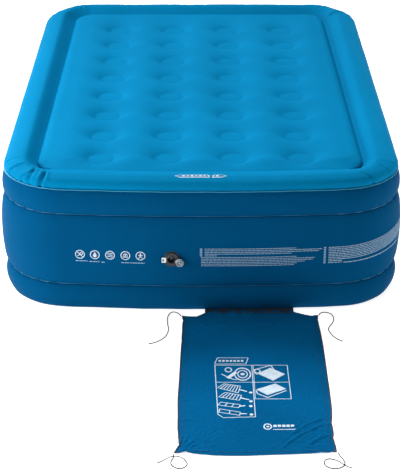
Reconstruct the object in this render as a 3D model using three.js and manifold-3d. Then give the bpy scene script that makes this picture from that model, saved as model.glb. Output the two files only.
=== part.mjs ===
// A double-height air mattress: welded laminate shell, inner air coils and webs,
// screw-in valve with a hinged cap, and a wrap flap with four tie cords.
// Millimetres, +Z up. The origin is the middle of the underside, +Y points to the
// head end and the valve and wrap are at the foot end, -Y.
import * as THREE from 'three';
import { mergeVertices } from 'three/addons/utils/BufferGeometryUtils.js';
import Module from 'manifold-3d';

const wasm = await Module();
wasm.setup();

// ---- Driving dimensions ----
const HALF_WIDTH = 672; // to the wall grooves
const HALF_LENGTH = 977;
const CORNER_RADIUS = 200; // in plan, at the wall grooves
const CORNER_STEPS = 6;
const FOOT_BOW = 45; // how far the foot end's corners stand back from its middle
const FOOT_STEPS = 6;
const SKIN = 2; // stands for the 0.42 mm laminate
const GAP = 0.3; // between welded or resting neighbours

const LOWER_GROOVE_Z = 92;
const UPPER_GROOVE_Z = 350;
const SEAM_Z = 437.5; // weld between the top and the walls
const SEAM_INSET = 6;
const CREST_Z = 485;
const CREST_INSET = 44;
const BOLSTER_WIDTH_SIDE = 134;
const BOLSTER_WIDTH_END = 112;
const BOLSTER_GROOVE_Z = 452;
const BOLSTER_STEPS = 5;
const FLANGE_HALF = 0.55; // half the thickness of the weld flange at the seam
const FLANGE_REACH = 4; // how far that flange stands out
const PANEL_Z = 476;
const PANEL_RIM = 40; // sloping edge of the sleeping panel
const FOOTPRINT_INSET = 37; // where the lower wall meets the floor sheet
const FLOOR_FLANGE_INSET = 27; // outer edge of the weld flange round the floor sheet
const LOWER_BULGE = 18;
const MIDDLE_BULGE = 13;
const UPPER_BULGE = 8;

const COIL_COLUMNS_X = [-340, -112, 112, 340];
const COIL_ROWS = 8;
const COIL_PITCH_Y = 199;
const COIL_FIELD_Y = -49; // middle of the coil field
const COIL_RADIUS = 38;
const CUP_MOUTH_RADIUS = 66;
const CUP_FLOOR_RADIUS = 40;
const CUP_DEPTH = 22;
const ROUND_STEPS = 8;

const TIE_BAND_WIDTH = 160;
const WEB_X = [-330, 0, 330];
const WEB_LENGTH = 1590;
const WEB_HOLES_Y = [-600, -200, 200, 600];
const DIAPHRAGM_HOLES_X = [-226, 226];
const DIAPHRAGM_HOLES_Y = [-426, 426];
const AIR_HOLE_RADIUS = 30;

const VALVE_X = -98;
const VALVE_Z = 202;
const VALVE_STEPS = 20;
const WALL_HOLE_RADIUS = 24.5;
const WALL_HOLE_REACH = 40;
const NECK_INNER = 20.5;
const NECK_OUTER = 23.5;
const NECK_FOOT = -22; // heights below are along the valve, 0 at the wall's furthest bulge
const NECK_TOP = 5;
const BASE_FLANGE_RADIUS = 34;
const BORE_RADIUS = 13;
const INSERT_RADIUS = 20.2;
const SEAT_RADIUS = 10.5;
const SEAT_LOW = -14;
const SEAT_HIGH = -12;
const HUB_INNER = 2.2;
const HUB_OUTER = 4;
const RIM_RADIUS = 24.5;
const RIM_FACE = 8; // outward of the wall's bulge
const CAP_HINGE_RADIUS = 14.75;
const CAP_HINGE_HEIGHT = 9.8;
const CAP_HINGE_ANGLE = -16; // degrees round the valve
const CAP_OPEN_ANGLE = 165;
const CAP_RADIUS = 14;

const FABRIC = 1.2; // stands for the 0.5 mm wrap cloth
const HEM_WIDTH = 12;
const NECK_X = [22, 308]; // the strip that joins the wrap to the mattress
const CONNECTOR_FOOT_Y = -984;
const CONNECTOR_HEAD_Y = -950.4;
const NEAR_LEFT = [-64, -1022];
const NEAR_RIGHT = [393, -1016];
const FAR_RIGHT = [388, -1820];
const FAR_LEFT = [-78, -1827];
const CORD_RADIUS = 1.5;
const CORD_STEP = 9;

// ---- Materials ----
const material = (color, roughness) => new THREE.MeshStandardMaterial({ color, roughness, metalness: 0 });
const TOP_BLUE = material(0x0a8acb, 0.55);
const WALL_BLUE = material(0x0a4f86, 0.5);
const INNER_BLUE = material(0x3f7fae, 0.6);
const PIPING_BLUE = material(0x3f93c0, 0.45);
const VALVE_DARK = material(0x14202c, 0.4);
const VALVE_WHITE = material(0xe9edee, 0.4);
const CAP_GREY = material(0xaeb9c0, 0.35);
const SEAL_BLACK = material(0x101316, 0.7);
const WRAP_BLUE = material(0x1d5687, 0.8);
const HEM_NAVY = material(0x123253, 0.8);
const CORD_BLACK = material(0x1c1a1c, 0.85);

// ---- Closed meshes and solids ----
const signedVolume = (positions, index) => {
  const corner = [new THREE.Vector3(), new THREE.Vector3(), new THREE.Vector3()];
  let volume = 0;
  for (let i = 0; i < index.length; i += 3) {
    corner.forEach((point, k) => point.fromArray(positions, 3 * index[i + k]));
    volume += corner[0].dot(corner[1].cross(corner[2])) / 6;
  }
  return volume;
};

// Joins shared vertices, drops flat triangles at poles and turns the faces outward.
const closed = (source) => {
  const bare = new THREE.BufferGeometry();
  bare.setAttribute('position', source.getAttribute('position'));
  bare.setIndex(source.getIndex());
  const merged = mergeVertices(bare, 1e-3);
  const all = merged.getIndex().array;
  const kept = [];
  for (let i = 0; i < all.length; i += 3) {
    const [a, b, c] = [all[i], all[i + 1], all[i + 2]];
    if (a !== b && b !== c && c !== a) kept.push(a, b, c);
  }
  if (signedVolume(merged.getAttribute('position').array, kept) < 0) kept.reverse();
  merged.setIndex(kept);
  return merged;
};

const solidOf = (geometry) => {
  const mesh = closed(geometry);
  return new wasm.Manifold(new wasm.Mesh({
    numProp: 3,
    vertProperties: new Float32Array(mesh.getAttribute('position').array),
    triVerts: new Uint32Array(mesh.getIndex().array),
  }));
};

const geometryOf = (solid) => {
  const mesh = solid.getMesh();
  const geometry = new THREE.BufferGeometry();
  geometry.setAttribute('position', new THREE.BufferAttribute(mesh.vertProperties, 3));
  geometry.setIndex(new THREE.BufferAttribute(mesh.triVerts, 1));
  return geometry;
};

const joined = (geometries) => geometryOf(
  geometries.map(solidOf).reduce((whole, piece) => whole.add(piece)),
);

const cut = (geometry, tools) => geometryOf(
  tools.map(solidOf).reduce((whole, tool) => whole.subtract(tool), solidOf(geometry)),
);

const model = new THREE.Group();

const addPart = (name, geometry, finish, parent = model) => {
  const mesh = new THREE.Mesh(closed(geometry), finish);
  mesh.name = name;
  parent.add(mesh);
  return mesh;
};

// ---- Rings swept round the rounded-rectangle plan ----
// A section point is [offset, z] or [offset, z, end offset]: offsets are outward from
// the groove line, the second one along Y where the ends differ from the sides.
const QUADRANT_SIGNS = [[1, 1], [-1, 1], [-1, -1], [1, -1]];

// The foot end bows outward: its points stand further back the further they are from x = 0.
const bowed = (x, y) => [x, y < 0 ? y * (1 - FOOT_BOW / HALF_LENGTH * (x / HALF_WIDTH) ** 2) : y];

const planPoint = (quadrant, step, offsetX, offsetY) => {
  const angle = (quadrant + step / CORNER_STEPS) * Math.PI / 2;
  const [signX, signY] = QUADRANT_SIGNS[quadrant];
  return bowed(
    signX * (HALF_WIDTH - CORNER_RADIUS) + (CORNER_RADIUS + offsetX) * Math.cos(angle),
    signY * (HALF_LENGTH - CORNER_RADIUS) + (CORNER_RADIUS + offsetY) * Math.sin(angle),
  );
};

const FOOT_LEFT_QUADRANT = 2;
const planOutline = (offsetX, offsetY = offsetX) => {
  const outline = [];
  for (let quadrant = 0; quadrant < 4; quadrant += 1) {
    for (let step = 0; step <= CORNER_STEPS; step += 1) {
      outline.push(planPoint(quadrant, step, offsetX, offsetY));
    }
    if (quadrant !== FOOT_LEFT_QUADRANT) continue;
    for (let step = 1; step < FOOT_STEPS; step += 1) {
      const across = 2 * step / FOOT_STEPS - 1;
      outline.push(bowed(across * (HALF_WIDTH - CORNER_RADIUS), -HALF_LENGTH - offsetY));
    }
  }
  return outline;
};

const ring = (section) => {
  const loops = section.map(([offset, z, endOffset = offset]) => planOutline(offset, endOffset)
    .map(([x, y]) => [x, y, z]));
  const stations = loops[0].length;
  const positions = loops.flat(2);
  const index = [];
  loops.forEach((loop, row) => {
    const next = (row + 1) % loops.length;
    for (let station = 0; station < stations; station += 1) {
      const ahead = (station + 1) % stations;
      const [a, b] = [row * stations + station, row * stations + ahead];
      const [c, d] = [next * stations + ahead, next * stations + station];
      index.push(a, b, c, a, c, d);
    }
  });
  const geometry = new THREE.BufferGeometry();
  geometry.setAttribute('position', new THREE.Float32BufferAttribute(positions, 3));
  geometry.setIndex(index);
  return geometry;
};

// Gives an open line of section points the skin's thickness on its inner side.
const skinned = (line) => {
  const inner = line.map(([offset, z, endOffset = offset], i) => {
    const before = line[Math.max(i - 1, 0)];
    const after = line[Math.min(i + 1, line.length - 1)];
    const run = Math.hypot(after[0] - before[0], after[1] - before[1]);
    const shift = SKIN * (after[1] - before[1]) / run;
    const drop = SKIN * (after[0] - before[0]) / run;
    return [offset - shift, z + drop, endOffset - shift];
  });
  return [...line, ...inner.reverse()];
};

// A wall band bulges as a shallow arc between two heights.
const band = (lowOffset, lowZ, highOffset, highZ, bulge, steps) => {
  const [runOffset, runZ] = [highOffset - lowOffset, highZ - lowZ];
  const length = Math.hypot(runOffset, runZ);
  const line = [];
  for (let i = 0; i <= steps; i += 1) {
    const t = i / steps;
    const out = 4 * bulge * t * (1 - t);
    line.push([
      lowOffset + runOffset * t + out * runZ / length,
      lowZ + runZ * t - out * runOffset / length,
    ]);
  }
  return line;
};

const slab = (outline, low, high, holes = []) => {
  const shape = new THREE.Shape(outline.map(([x, y]) => new THREE.Vector2(x, y)));
  for (const [x, y, radius] of holes) {
    const hole = [];
    for (let i = 0; i < ROUND_STEPS; i += 1) {
      const angle = 2 * Math.PI * i / ROUND_STEPS;
      hole.push(new THREE.Vector2(x + radius * Math.cos(angle), y + radius * Math.sin(angle)));
    }
    shape.holes.push(new THREE.Path(hole));
  }
  const geometry = new THREE.ExtrudeGeometry(shape, { depth: high - low, bevelEnabled: false });
  return geometry.translate(0, 0, low);
};

// A closed profile of [radius, height] turned about +Z.
const turned = (profile, steps) => {
  const points = [...profile, profile[0]].map(([radius, height]) => new THREE.Vector2(radius, height));
  return new THREE.LatheGeometry(points, steps).rotateX(Math.PI / 2);
};

const block = (x0, x1, y0, y1, z0, z1) => new THREE.BoxGeometry(x1 - x0, y1 - y0, z1 - z0)
  .translate((x0 + x1) / 2, (y0 + y1) / 2, (z0 + z1) / 2);

const coilCentres = [];
for (let row = 0; row < COIL_ROWS; row += 1) {
  COIL_COLUMNS_X.forEach((x, column) => {
    const y = COIL_FIELD_Y + (row - (COIL_ROWS - 1) / 2) * COIL_PITCH_Y;
    coilCentres.push({ x, y, row: row + 1, column: column + 1 });
  });
}

// ---- Floor sheet and its weld flange ----
const SHEET_EDGE = FOOTPRINT_INSET + 3;
addPart('bottom_sheet', slab(planOutline(-SHEET_EDGE), 0, SKIN), WALL_BLUE);
const flangeInner = GAP - SHEET_EDGE;
const flangeOuter = -FLOOR_FLANGE_INSET;
addPart('bottom_seam_flange', ring([
  [flangeInner, 0], [flangeOuter, 0], [flangeOuter, SKIN - 0.2], [flangeInner, SKIN - 0.2],
]), HEM_NAVY);

// ---- Side walls: three bands that meet at the welded grooves ----
const halfGap = GAP / 2;
const lowerBand = band(-FOOTPRINT_INSET, SKIN + GAP, 0, LOWER_GROOVE_Z - halfGap, LOWER_BULGE, 6);
addPart('side_wall_lower', ring(skinned(lowerBand)), WALL_BLUE);

const middleBand = band(0, LOWER_GROOVE_Z + halfGap, 0, UPPER_GROOVE_Z - halfGap, MIDDLE_BULGE, 6);
const valvePlaneY = 1 - HALF_LENGTH - MIDDLE_BULGE; // 1 mm behind the bulge, for the bowed end
const wallHole = new THREE.CylinderGeometry(
  WALL_HOLE_RADIUS, WALL_HOLE_RADIUS, WALL_HOLE_REACH, VALVE_STEPS,
).translate(VALVE_X, valvePlaneY, VALVE_Z);
addPart('side_wall_middle', cut(ring(skinned(middleBand)), [wallHole]), WALL_BLUE);

const seamUnderside = SEAM_Z - FLANGE_HALF - GAP;
const upperBand = band(0, UPPER_GROOVE_Z + halfGap, -SEAM_INSET, seamUnderside, UPPER_BULGE, 5);
addPart('side_wall_upper', ring(skinned(upperBand)), WALL_BLUE);

const seamFlange = [-SEAM_INSET - SKIN, FLANGE_REACH - SEAM_INSET];
addPart('top_seam_flange', ring([
  [seamFlange[0], SEAM_Z - FLANGE_HALF], [seamFlange[1], SEAM_Z - FLANGE_HALF],
  [seamFlange[1], SEAM_Z + FLANGE_HALF], [seamFlange[0], SEAM_Z + FLANGE_HALF],
]), PIPING_BLUE);

// ---- Edge bolster: a quarter ellipse up to the crest, then an S-curve to the groove ----
const bolsterLine = [];
const bolsterFoot = SEAM_Z + FLANGE_HALF + 2 * GAP;
for (let i = 0; i < BOLSTER_STEPS; i += 1) {
  const angle = i / BOLSTER_STEPS * Math.PI / 2;
  bolsterLine.push([
    -SEAM_INSET + (CREST_INSET - SEAM_INSET) * (Math.cos(angle) - 1),
    bolsterFoot + (CREST_Z - bolsterFoot) * Math.sin(angle),
  ]);
}
for (let i = 0; i <= BOLSTER_STEPS; i += 1) {
  const t = i / BOLSTER_STEPS;
  bolsterLine.push([
    -CREST_INSET - (BOLSTER_WIDTH_SIDE - CREST_INSET) * t,
    BOLSTER_GROOVE_Z + (CREST_Z - BOLSTER_GROOVE_Z) * (1 + Math.cos(Math.PI * t)) / 2,
    -CREST_INSET - (BOLSTER_WIDTH_END - CREST_INSET) * t,
  ]);
}
addPart('edge_bolster', ring(skinned(bolsterLine)), TOP_BLUE);

// The divider ties the groove down to the diaphragm and closes off the edge chamber.
const dividerOuter = [1 - BOLSTER_WIDTH_SIDE, 1 - BOLSTER_WIDTH_END];
const dividerTop = BOLSTER_GROOVE_Z - SKIN - 2 * GAP;
const dividerFoot = UPPER_GROOVE_Z + SKIN / 2 + GAP;
addPart('bolster_divider', ring([
  [dividerOuter[0] - SKIN, dividerFoot, dividerOuter[1] - SKIN],
  [dividerOuter[0], dividerFoot, dividerOuter[1]],
  [dividerOuter[0], dividerTop, dividerOuter[1]],
  [dividerOuter[0] - SKIN, dividerTop, dividerOuter[1] - SKIN],
]), INNER_BLUE);

// ---- Sleeping panel with a shallow cup over every coil ----
const panelEdge = (inset, z) => [-BOLSTER_WIDTH_SIDE - inset, z, -BOLSTER_WIDTH_END - inset];
const panelRim = ring(skinned([
  panelEdge(2 * GAP, BOLSTER_GROOVE_Z),
  panelEdge(PANEL_RIM / 3, BOLSTER_GROOVE_Z + 0.62 * (PANEL_Z - BOLSTER_GROOVE_Z)),
  panelEdge(2 * PANEL_RIM / 3, PANEL_Z - 1.6),
  panelEdge(PANEL_RIM, PANEL_Z),
  panelEdge(PANEL_RIM + 3, PANEL_Z),
]));
const panelFlat = slab(
  planOutline(-BOLSTER_WIDTH_SIDE - PANEL_RIM - 1, -BOLSTER_WIDTH_END - PANEL_RIM - 1),
  PANEL_Z - SKIN,
  PANEL_Z,
  coilCentres.map(({ x, y }) => [x, y, CUP_MOUTH_RADIUS - 1]),
);
const cupFloorZ = PANEL_Z - CUP_DEPTH;
const cup = ({ x, y }) => turned([
  [0, cupFloorZ - SKIN], [CUP_FLOOR_RADIUS, cupFloorZ - SKIN],
  [CUP_MOUTH_RADIUS, PANEL_Z - SKIN], [CUP_MOUTH_RADIUS, PANEL_Z],
  [CUP_FLOOR_RADIUS, cupFloorZ], [0, cupFloorZ],
], ROUND_STEPS).rotateZ(Math.PI / 2).translate(x, y, 0);
addPart('sleeping_panel', joined([panelFlat, panelRim, ...coilCentres.map(cup)]), TOP_BLUE);

// ---- Air coils between the cups and the diaphragm ----
for (const { x, y, row, column } of coilCentres) {
  const [low, high] = [UPPER_GROOVE_Z + SKIN / 2 + GAP, cupFloorZ - SKIN - GAP];
  const coil = addPart(`air_coil_r${row}_c${column}`, turned([
    [COIL_RADIUS - SKIN, low], [COIL_RADIUS, low],
    [COIL_RADIUS, high], [COIL_RADIUS - SKIN, high],
  ], 8), INNER_BLUE);
  coil.position.set(x, y, 0);
}

// ---- Diaphragm at the upper groove and tie band at the lower one ----
const insideWall = SKIN + 0.6;
const airPassages = [];
for (const x of DIAPHRAGM_HOLES_X) {
  for (const y of DIAPHRAGM_HOLES_Y) airPassages.push([x, y, AIR_HOLE_RADIUS]);
}
addPart('middle_diaphragm', slab(
  planOutline(-insideWall),
  UPPER_GROOVE_Z - SKIN / 2,
  UPPER_GROOVE_Z + SKIN / 2,
  airPassages,
), INNER_BLUE);

addPart('lower_tie_band', ring([
  [-insideWall - TIE_BAND_WIDTH, LOWER_GROOVE_Z - SKIN / 2], [-insideWall, LOWER_GROOVE_Z - SKIN / 2],
  [-insideWall, LOWER_GROOVE_Z + SKIN / 2], [-insideWall - TIE_BAND_WIDTH, LOWER_GROOVE_Z + SKIN / 2],
]), INNER_BLUE);

// ---- Lengthwise webs between the floor sheet and the diaphragm ----
const webLow = SKIN + GAP;
const webHigh = UPPER_GROOVE_Z - SKIN / 2 - GAP;
const webHoles = WEB_HOLES_Y.map((y) => [y, (webLow + webHigh) / 2, AIR_HOLE_RADIUS]);
const webSides = [
  [-WEB_LENGTH / 2, webLow], [WEB_LENGTH / 2, webLow],
  [WEB_LENGTH / 2, webHigh], [-WEB_LENGTH / 2, webHigh],
];
['base_web_left', 'base_web_centre', 'base_web_right'].forEach((name, i) => {
  const sheet = slab(webSides, -SKIN / 2, SKIN / 2, webHoles).rotateX(Math.PI / 2).rotateZ(Math.PI / 2);
  addPart(name, sheet, INNER_BLUE).position.x = WEB_X[i];
});

// ---- Valve: local +Z points out of the foot wall, local +Y is up ----
const valve = new THREE.Group();
valve.position.set(VALVE_X, valvePlaneY, VALVE_Z);
valve.rotation.x = Math.PI / 2;
model.add(valve);

// Welded base: a neck through the wall and a flange behind it.
addPart('valve_base', turned([
  [NECK_INNER, NECK_FOOT], [NECK_OUTER, NECK_FOOT], [NECK_OUTER, -6.8], [BASE_FLANGE_RADIUS, -6.8],
  [BASE_FLANGE_RADIUS, -5.2], [NECK_OUTER, -5.2], [NECK_OUTER, NECK_TOP], [NECK_INNER, NECK_TOP],
], VALVE_STEPS), VALVE_DARK, valve);

// Screw-in insert: rim, bore, spoked seat for the check disc and a pair of cap ears.
const rimBack = NECK_TOP + GAP;
const insertShell = turned([
  [BORE_RADIUS, RIM_FACE], [BORE_RADIUS, SEAT_HIGH], [SEAT_RADIUS, SEAT_HIGH], [SEAT_RADIUS, SEAT_LOW],
  [BORE_RADIUS + 0.5, SEAT_LOW], [BORE_RADIUS + 0.5, NECK_FOOT + 2], [INSERT_RADIUS, NECK_FOOT + 2],
  [INSERT_RADIUS, rimBack], [20.9, rimBack], [20.9, 6.9],
  [22.9, 6.9], [22.9, rimBack], [RIM_RADIUS, rimBack], [RIM_RADIUS, RIM_FACE],
], VALVE_STEPS);
const hub = turned([
  [HUB_INNER, SEAT_LOW], [HUB_OUTER, SEAT_LOW], [HUB_OUTER, SEAT_HIGH], [HUB_INNER, SEAT_HIGH],
], VALVE_STEPS);
const spokes = [0, 1, 2, 3].map((i) => block(
  HUB_OUTER - 0.6, SEAT_RADIUS + 0.6, -0.9, 0.9, SEAT_LOW, SEAT_HIGH,
).rotateZ((i + 0.5) * Math.PI / 2));
const hingeTurn = THREE.MathUtils.degToRad(CAP_HINGE_ANGLE);
const ears = [-1, 1].map((side) => block(
  -1.1, 1.1, side * 5.4 - 1, side * 5.4 + 1, RIM_FACE - 0.6, CAP_HINGE_HEIGHT + 1,
).translate(CAP_HINGE_RADIUS, 0, 0).rotateZ(hingeTurn));
addPart('valve_insert', joined([insertShell, hub, ...spokes, ...ears]), VALVE_DARK, valve);

addPart('insert_seal', turned([
  [21.2, 5.3], [22.6, 5.3], [22.6, 6.6], [21.2, 6.6],
], VALVE_STEPS), SEAL_BLACK, valve);

// Check disc: a stem through the hub, with a bulb that holds it in place.
addPart('check_disc', turned([
  [0, -15.3], [12, -15.3], [12, -14.3], [1.5, -14.3], [1.5, -9.2], [3.2, -9.2], [3.2, -7.4], [0, -7.4],
], VALVE_STEPS), CAP_GREY, valve);

// White pull tab on the rim, slotted for a fingertip.
const tabShape = new THREE.Shape();
tabShape.moveTo(-32.5, -7).quadraticCurveTo(-32.5, -10, -29.5, -10).lineTo(-17.5, -10)
  .lineTo(-17.5, 9).lineTo(-29.5, 9).quadraticCurveTo(-32.5, 9, -32.5, 6).closePath();
tabShape.holes.push(new THREE.Path([
  new THREE.Vector2(-29.5, -5), new THREE.Vector2(-25.5, -5),
  new THREE.Vector2(-25.5, 4), new THREE.Vector2(-29.5, 4),
]));
const tabSolid = new THREE.ExtrudeGeometry(tabShape, { depth: 1.4, bevelEnabled: false, curveSegments: 3 });
addPart('pull_tab', tabSolid.translate(0, 0, RIM_FACE + GAP), VALVE_WHITE, valve);

// Cap, drawn closed about its hinge line (local Y) and then swung open.
const capTurn = new THREE.Group();
capTurn.position.set(
  CAP_HINGE_RADIUS * Math.cos(hingeTurn),
  CAP_HINGE_RADIUS * Math.sin(hingeTurn),
  CAP_HINGE_HEIGHT,
);
capTurn.rotation.z = hingeTurn;
valve.add(capTurn);
const capSwing = new THREE.Group();
capSwing.rotation.y = THREE.MathUtils.degToRad(CAP_OPEN_ANGLE);
capTurn.add(capSwing);
const capBody = turned([
  [0, 0.5], [CAP_RADIUS - 0.8, 0.5], [CAP_RADIUS, -0.3], [CAP_RADIUS, -1.5], [12.5, -1.5],
  [11.4, -8.5], [9.4, -8.5], [10.2, -1.5], [0, -1.5],
], VALVE_STEPS).translate(-CAP_HINGE_RADIUS, 0, 0);
const tongue = block(-3.4, 1, -4, 4, -0.9, 0.4);
const capRibs = [[10.4, 0.7], [0.7, 10.4]].map(([halfX, halfY]) => block(
  -CAP_HINGE_RADIUS - halfX, -CAP_HINGE_RADIUS + halfX, -halfY, halfY, -6, -1,
));
addPart('cap', joined([capBody, tongue, ...capRibs]), CAP_GREY, capSwing);

// ---- Wrap flap laid out on the floor at the foot end ----
addPart('wrap_connector', slab([
  [NECK_X[0], CONNECTOR_FOOT_Y], [NECK_X[1], CONNECTOR_FOOT_Y],
  [NECK_X[1], CONNECTOR_HEAD_Y], [NECK_X[0], CONNECTOR_HEAD_Y],
], 0, FABRIC), HEM_NAVY);

const shifted = ([x, y], shift) => [x + shift, y];
const panelInset = HEM_WIDTH + GAP;
addPart('wrap_panel', slab([
  [NECK_X[0], CONNECTOR_FOOT_Y - GAP], shifted(NEAR_LEFT, panelInset), shifted(FAR_LEFT, panelInset),
  shifted(FAR_RIGHT, -panelInset), shifted(NEAR_RIGHT, -panelInset), [NECK_X[1], CONNECTOR_FOOT_Y - GAP],
], 0, FABRIC), WRAP_BLUE);
addPart('wrap_hem_left', slab([
  NEAR_LEFT, FAR_LEFT, shifted(FAR_LEFT, HEM_WIDTH), shifted(NEAR_LEFT, HEM_WIDTH),
], 0, FABRIC), HEM_NAVY);
addPart('wrap_hem_right', slab([
  shifted(NEAR_RIGHT, -HEM_WIDTH), shifted(FAR_RIGHT, -HEM_WIDTH), FAR_RIGHT, NEAR_RIGHT,
], 0, FABRIC), HEM_NAVY);

// ---- Tie cords: each route lies on the floor, in a low hump where it crosses itself ----
const FLOOR_Z = 1.8; // centre of a cord at rest on the floor
const OVER_Z = 5.2; // centre of a cord that passes over another
const CORD_ROUTES = {
  tie_cord_near_left: [
    [-67, -1020], [-75, -1003], [-85, -993], [-96, -991], [-105, -1000], [-111, -1020], [-113, -1045],
    [-111, -1075], [-108, -1105], [-110, -1132], [-118, -1158], [-132, -1179], [-150, -1195], [-171, -1205],
  ],
  tie_cord_near_right: [
    [396, -1013], [402, -1000], [411, -993], [423, -994], [434, -1000], [442, -1015], [444, -1040],
    [437, -1068], [426, -1090], [421, -1108], [425, -1132], [434, -1156], [446, -1174], [461, -1187],
  ],
  tie_cord_far_left: [
    [-79, -1830], [-79, -1841], [-82, -1854], [-86, -1868], [-85, -1881], [-77, -1893], [-65, -1900],
    [-52, -1898], [-43, -1889], [-40, -1876], [-45, -1863, 2.6], [-55, -1852, 4.2], [-68, -1846, OVER_Z],
    [-82, -1846, OVER_Z], [-96, -1853, 3.8], [-109, -1863, 2.4], [-125, -1874],
  ],
  tie_cord_far_right: [
    [392, -1822], [396, -1838], [403, -1855], [407, -1870], [405, -1883], [397, -1894], [384, -1900],
    [369, -1900], [356, -1892], [349, -1880], [349, -1867], [356, -1856], [367, -1853], [379, -1859, 2.6],
    [389, -1869, 4.2], [397, -1880, OVER_Z], [406, -1890, OVER_Z], [415, -1896, 3.8], [426, -1899, 2.2],
  ],
};

const cordSection = new THREE.Shape();
for (let i = 0; i < 8; i += 1) {
  const angle = (i + 0.5) * Math.PI / 4;
  const point = [CORD_RADIUS * Math.cos(angle), CORD_RADIUS * Math.sin(angle)];
  if (i === 0) cordSection.moveTo(...point);
  else cordSection.lineTo(...point);
}
cordSection.closePath();

for (const [name, route] of Object.entries(CORD_ROUTES)) {
  const path = new THREE.CatmullRomCurve3(route.map(([x, y, z = FLOOR_Z]) => new THREE.Vector3(x, y, z)));
  const steps = Math.round(path.getLength() / CORD_STEP);
  const tube = new THREE.ExtrudeGeometry(cordSection, { steps, extrudePath: path, bevelEnabled: false });
  addPart(name, tube, CORD_BLACK);
}

export default model;
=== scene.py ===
"""Looks of a double-height air mattress with a wrap flap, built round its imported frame.

Metres, +Z up. The mattress stands on z = 0, its foot end with the valve and wrap is at -Y.
"""

import math

import bmesh
import bpy
import numpy as np
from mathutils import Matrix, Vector
from mathutils.bvhtree import BVHTree


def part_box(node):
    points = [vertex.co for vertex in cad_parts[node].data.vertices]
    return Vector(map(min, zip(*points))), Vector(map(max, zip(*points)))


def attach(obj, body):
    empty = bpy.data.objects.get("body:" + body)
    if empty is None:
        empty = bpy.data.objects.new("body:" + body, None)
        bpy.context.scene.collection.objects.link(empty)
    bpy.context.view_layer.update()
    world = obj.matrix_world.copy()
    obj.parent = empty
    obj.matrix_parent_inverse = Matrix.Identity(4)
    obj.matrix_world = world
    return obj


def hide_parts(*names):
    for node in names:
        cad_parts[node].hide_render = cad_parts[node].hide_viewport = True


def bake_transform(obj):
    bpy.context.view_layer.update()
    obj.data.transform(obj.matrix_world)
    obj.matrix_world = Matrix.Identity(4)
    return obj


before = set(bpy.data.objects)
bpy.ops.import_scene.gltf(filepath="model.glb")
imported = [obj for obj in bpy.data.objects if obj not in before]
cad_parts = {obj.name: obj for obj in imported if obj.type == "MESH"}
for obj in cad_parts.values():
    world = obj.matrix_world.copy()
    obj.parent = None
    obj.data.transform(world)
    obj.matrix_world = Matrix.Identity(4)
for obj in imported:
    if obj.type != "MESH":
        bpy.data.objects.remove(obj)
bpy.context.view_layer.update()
RANDOM = np.random.default_rng(7)

# ---- Sizes, from the frame ----
# Offsets and insets are measured from the groove line, the outline where the wall's bands meet.
MIDDLE_BULGE = 0.013
LOWER_BULGE = 0.014
UPPER_BULGE = 0.008
wall_low, wall_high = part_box("side_wall_middle")
HALF_WIDTH = wall_high.x - MIDDLE_BULGE
HALF_LENGTH = wall_high.y - MIDDLE_BULGE
CORNER_RADIUS = 0.200
CENTRE_X = HALF_WIDTH - CORNER_RADIUS
CENTRE_Y = HALF_LENGTH - CORNER_RADIUS
LOWER_GROOVE_Z = wall_low.z
UPPER_GROOVE_Z = wall_high.z
seam_low, seam_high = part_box("top_seam_flange")
SEAM_Z = seam_low.z + 0.0005
SEAM_INSET = HALF_WIDTH + 0.004 - seam_high.x
CREST_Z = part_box("edge_bolster")[1].z
CREST_INSET_SIDE = 0.075
CREST_INSET_END = 0.042
FOOTPRINT_INSET = 0.013
FOOT_BOW = 0.045
panel_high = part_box("sleeping_panel")[1]
PANEL_Z = panel_high.z
BOLSTER_SIDE = HALF_WIDTH - panel_high.x
BOLSTER_END = HALF_LENGTH - panel_high.y
PANEL_CORNER = 0.085
# The groove between bolster and panel, and how much shallower it is along the foot end.
GROOVE_Z = 0.452
FOOT_GROOVE_FILL = 0.013
FOOT_FILL_EASE = 0.05
CREST_T = 0.4
BOLSTER_BELLY = 0.0090
SKIN = 0.0012
COIL_ROWS, COIL_COLUMNS = 8, 4


def coil_centre(row, column):
    low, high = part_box(f"air_coil_r{row + 1}_c{column + 1}")
    return (low.x + high.x) / 2, (low.y + high.y) / 2


COIL_X = [coil_centre(0, column)[0] for column in range(COIL_COLUMNS)]
COIL_Y = [coil_centre(row, 0)[1] for row in range(COIL_ROWS)]


def add_object(name, data):
    thing = bpy.data.objects.new(name, data)
    bpy.context.scene.collection.objects.link(thing)
    return thing


# ---- Camera ----
def make_camera(lens=111.1, place=(-0.0035, -5.295, 2.379), looks_down=25.9):
    data = bpy.data.cameras.new("camera")
    data.sensor_width = 36.0
    data.lens = lens
    camera = add_object("camera", data)
    camera.location = place
    camera.rotation_euler = (math.radians(90 - looks_down), 0, 0)
    bpy.context.scene.camera = camera


make_camera()


# ---- Mesh helpers ----
def link_mesh(name, vertices, faces, material=None, smooth=True):
    mesh = bpy.data.meshes.new(name)
    mesh.from_pydata([tuple(v) for v in np.asarray(vertices, float).tolist()], [], faces)
    mesh.update()
    mesh.polygons.foreach_set("use_smooth", [smooth] * len(mesh.polygons))
    if material:
        mesh.materials.append(material)
    return add_object(name, mesh)


def edit_mesh(mesh, action):
    """Runs action on a mesh while it is open for editing."""
    bm = bmesh.new()
    bm.from_mesh(mesh)
    action(bm)
    bm.to_mesh(mesh)
    bm.free()


def grid_faces(rows, columns, wrap_rows=False, wrap_columns=False, first=0):
    """Quads over rows x columns points, stored row by row."""
    faces = []
    for i in range(rows if wrap_rows else rows - 1):
        below = (i + 1) % rows
        for j in range(columns if wrap_columns else columns - 1):
            ahead = (j + 1) % columns
            faces.append((
                first + i * columns + j,
                first + below * columns + j,
                first + below * columns + ahead,
                first + i * columns + ahead,
            ))
    return faces


def thicken(piece, thickness=SKIN, offset=-1.0):
    solid = piece.modifiers.new("thickness", "SOLIDIFY")
    solid.thickness = thickness
    solid.offset = offset
    return piece


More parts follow.
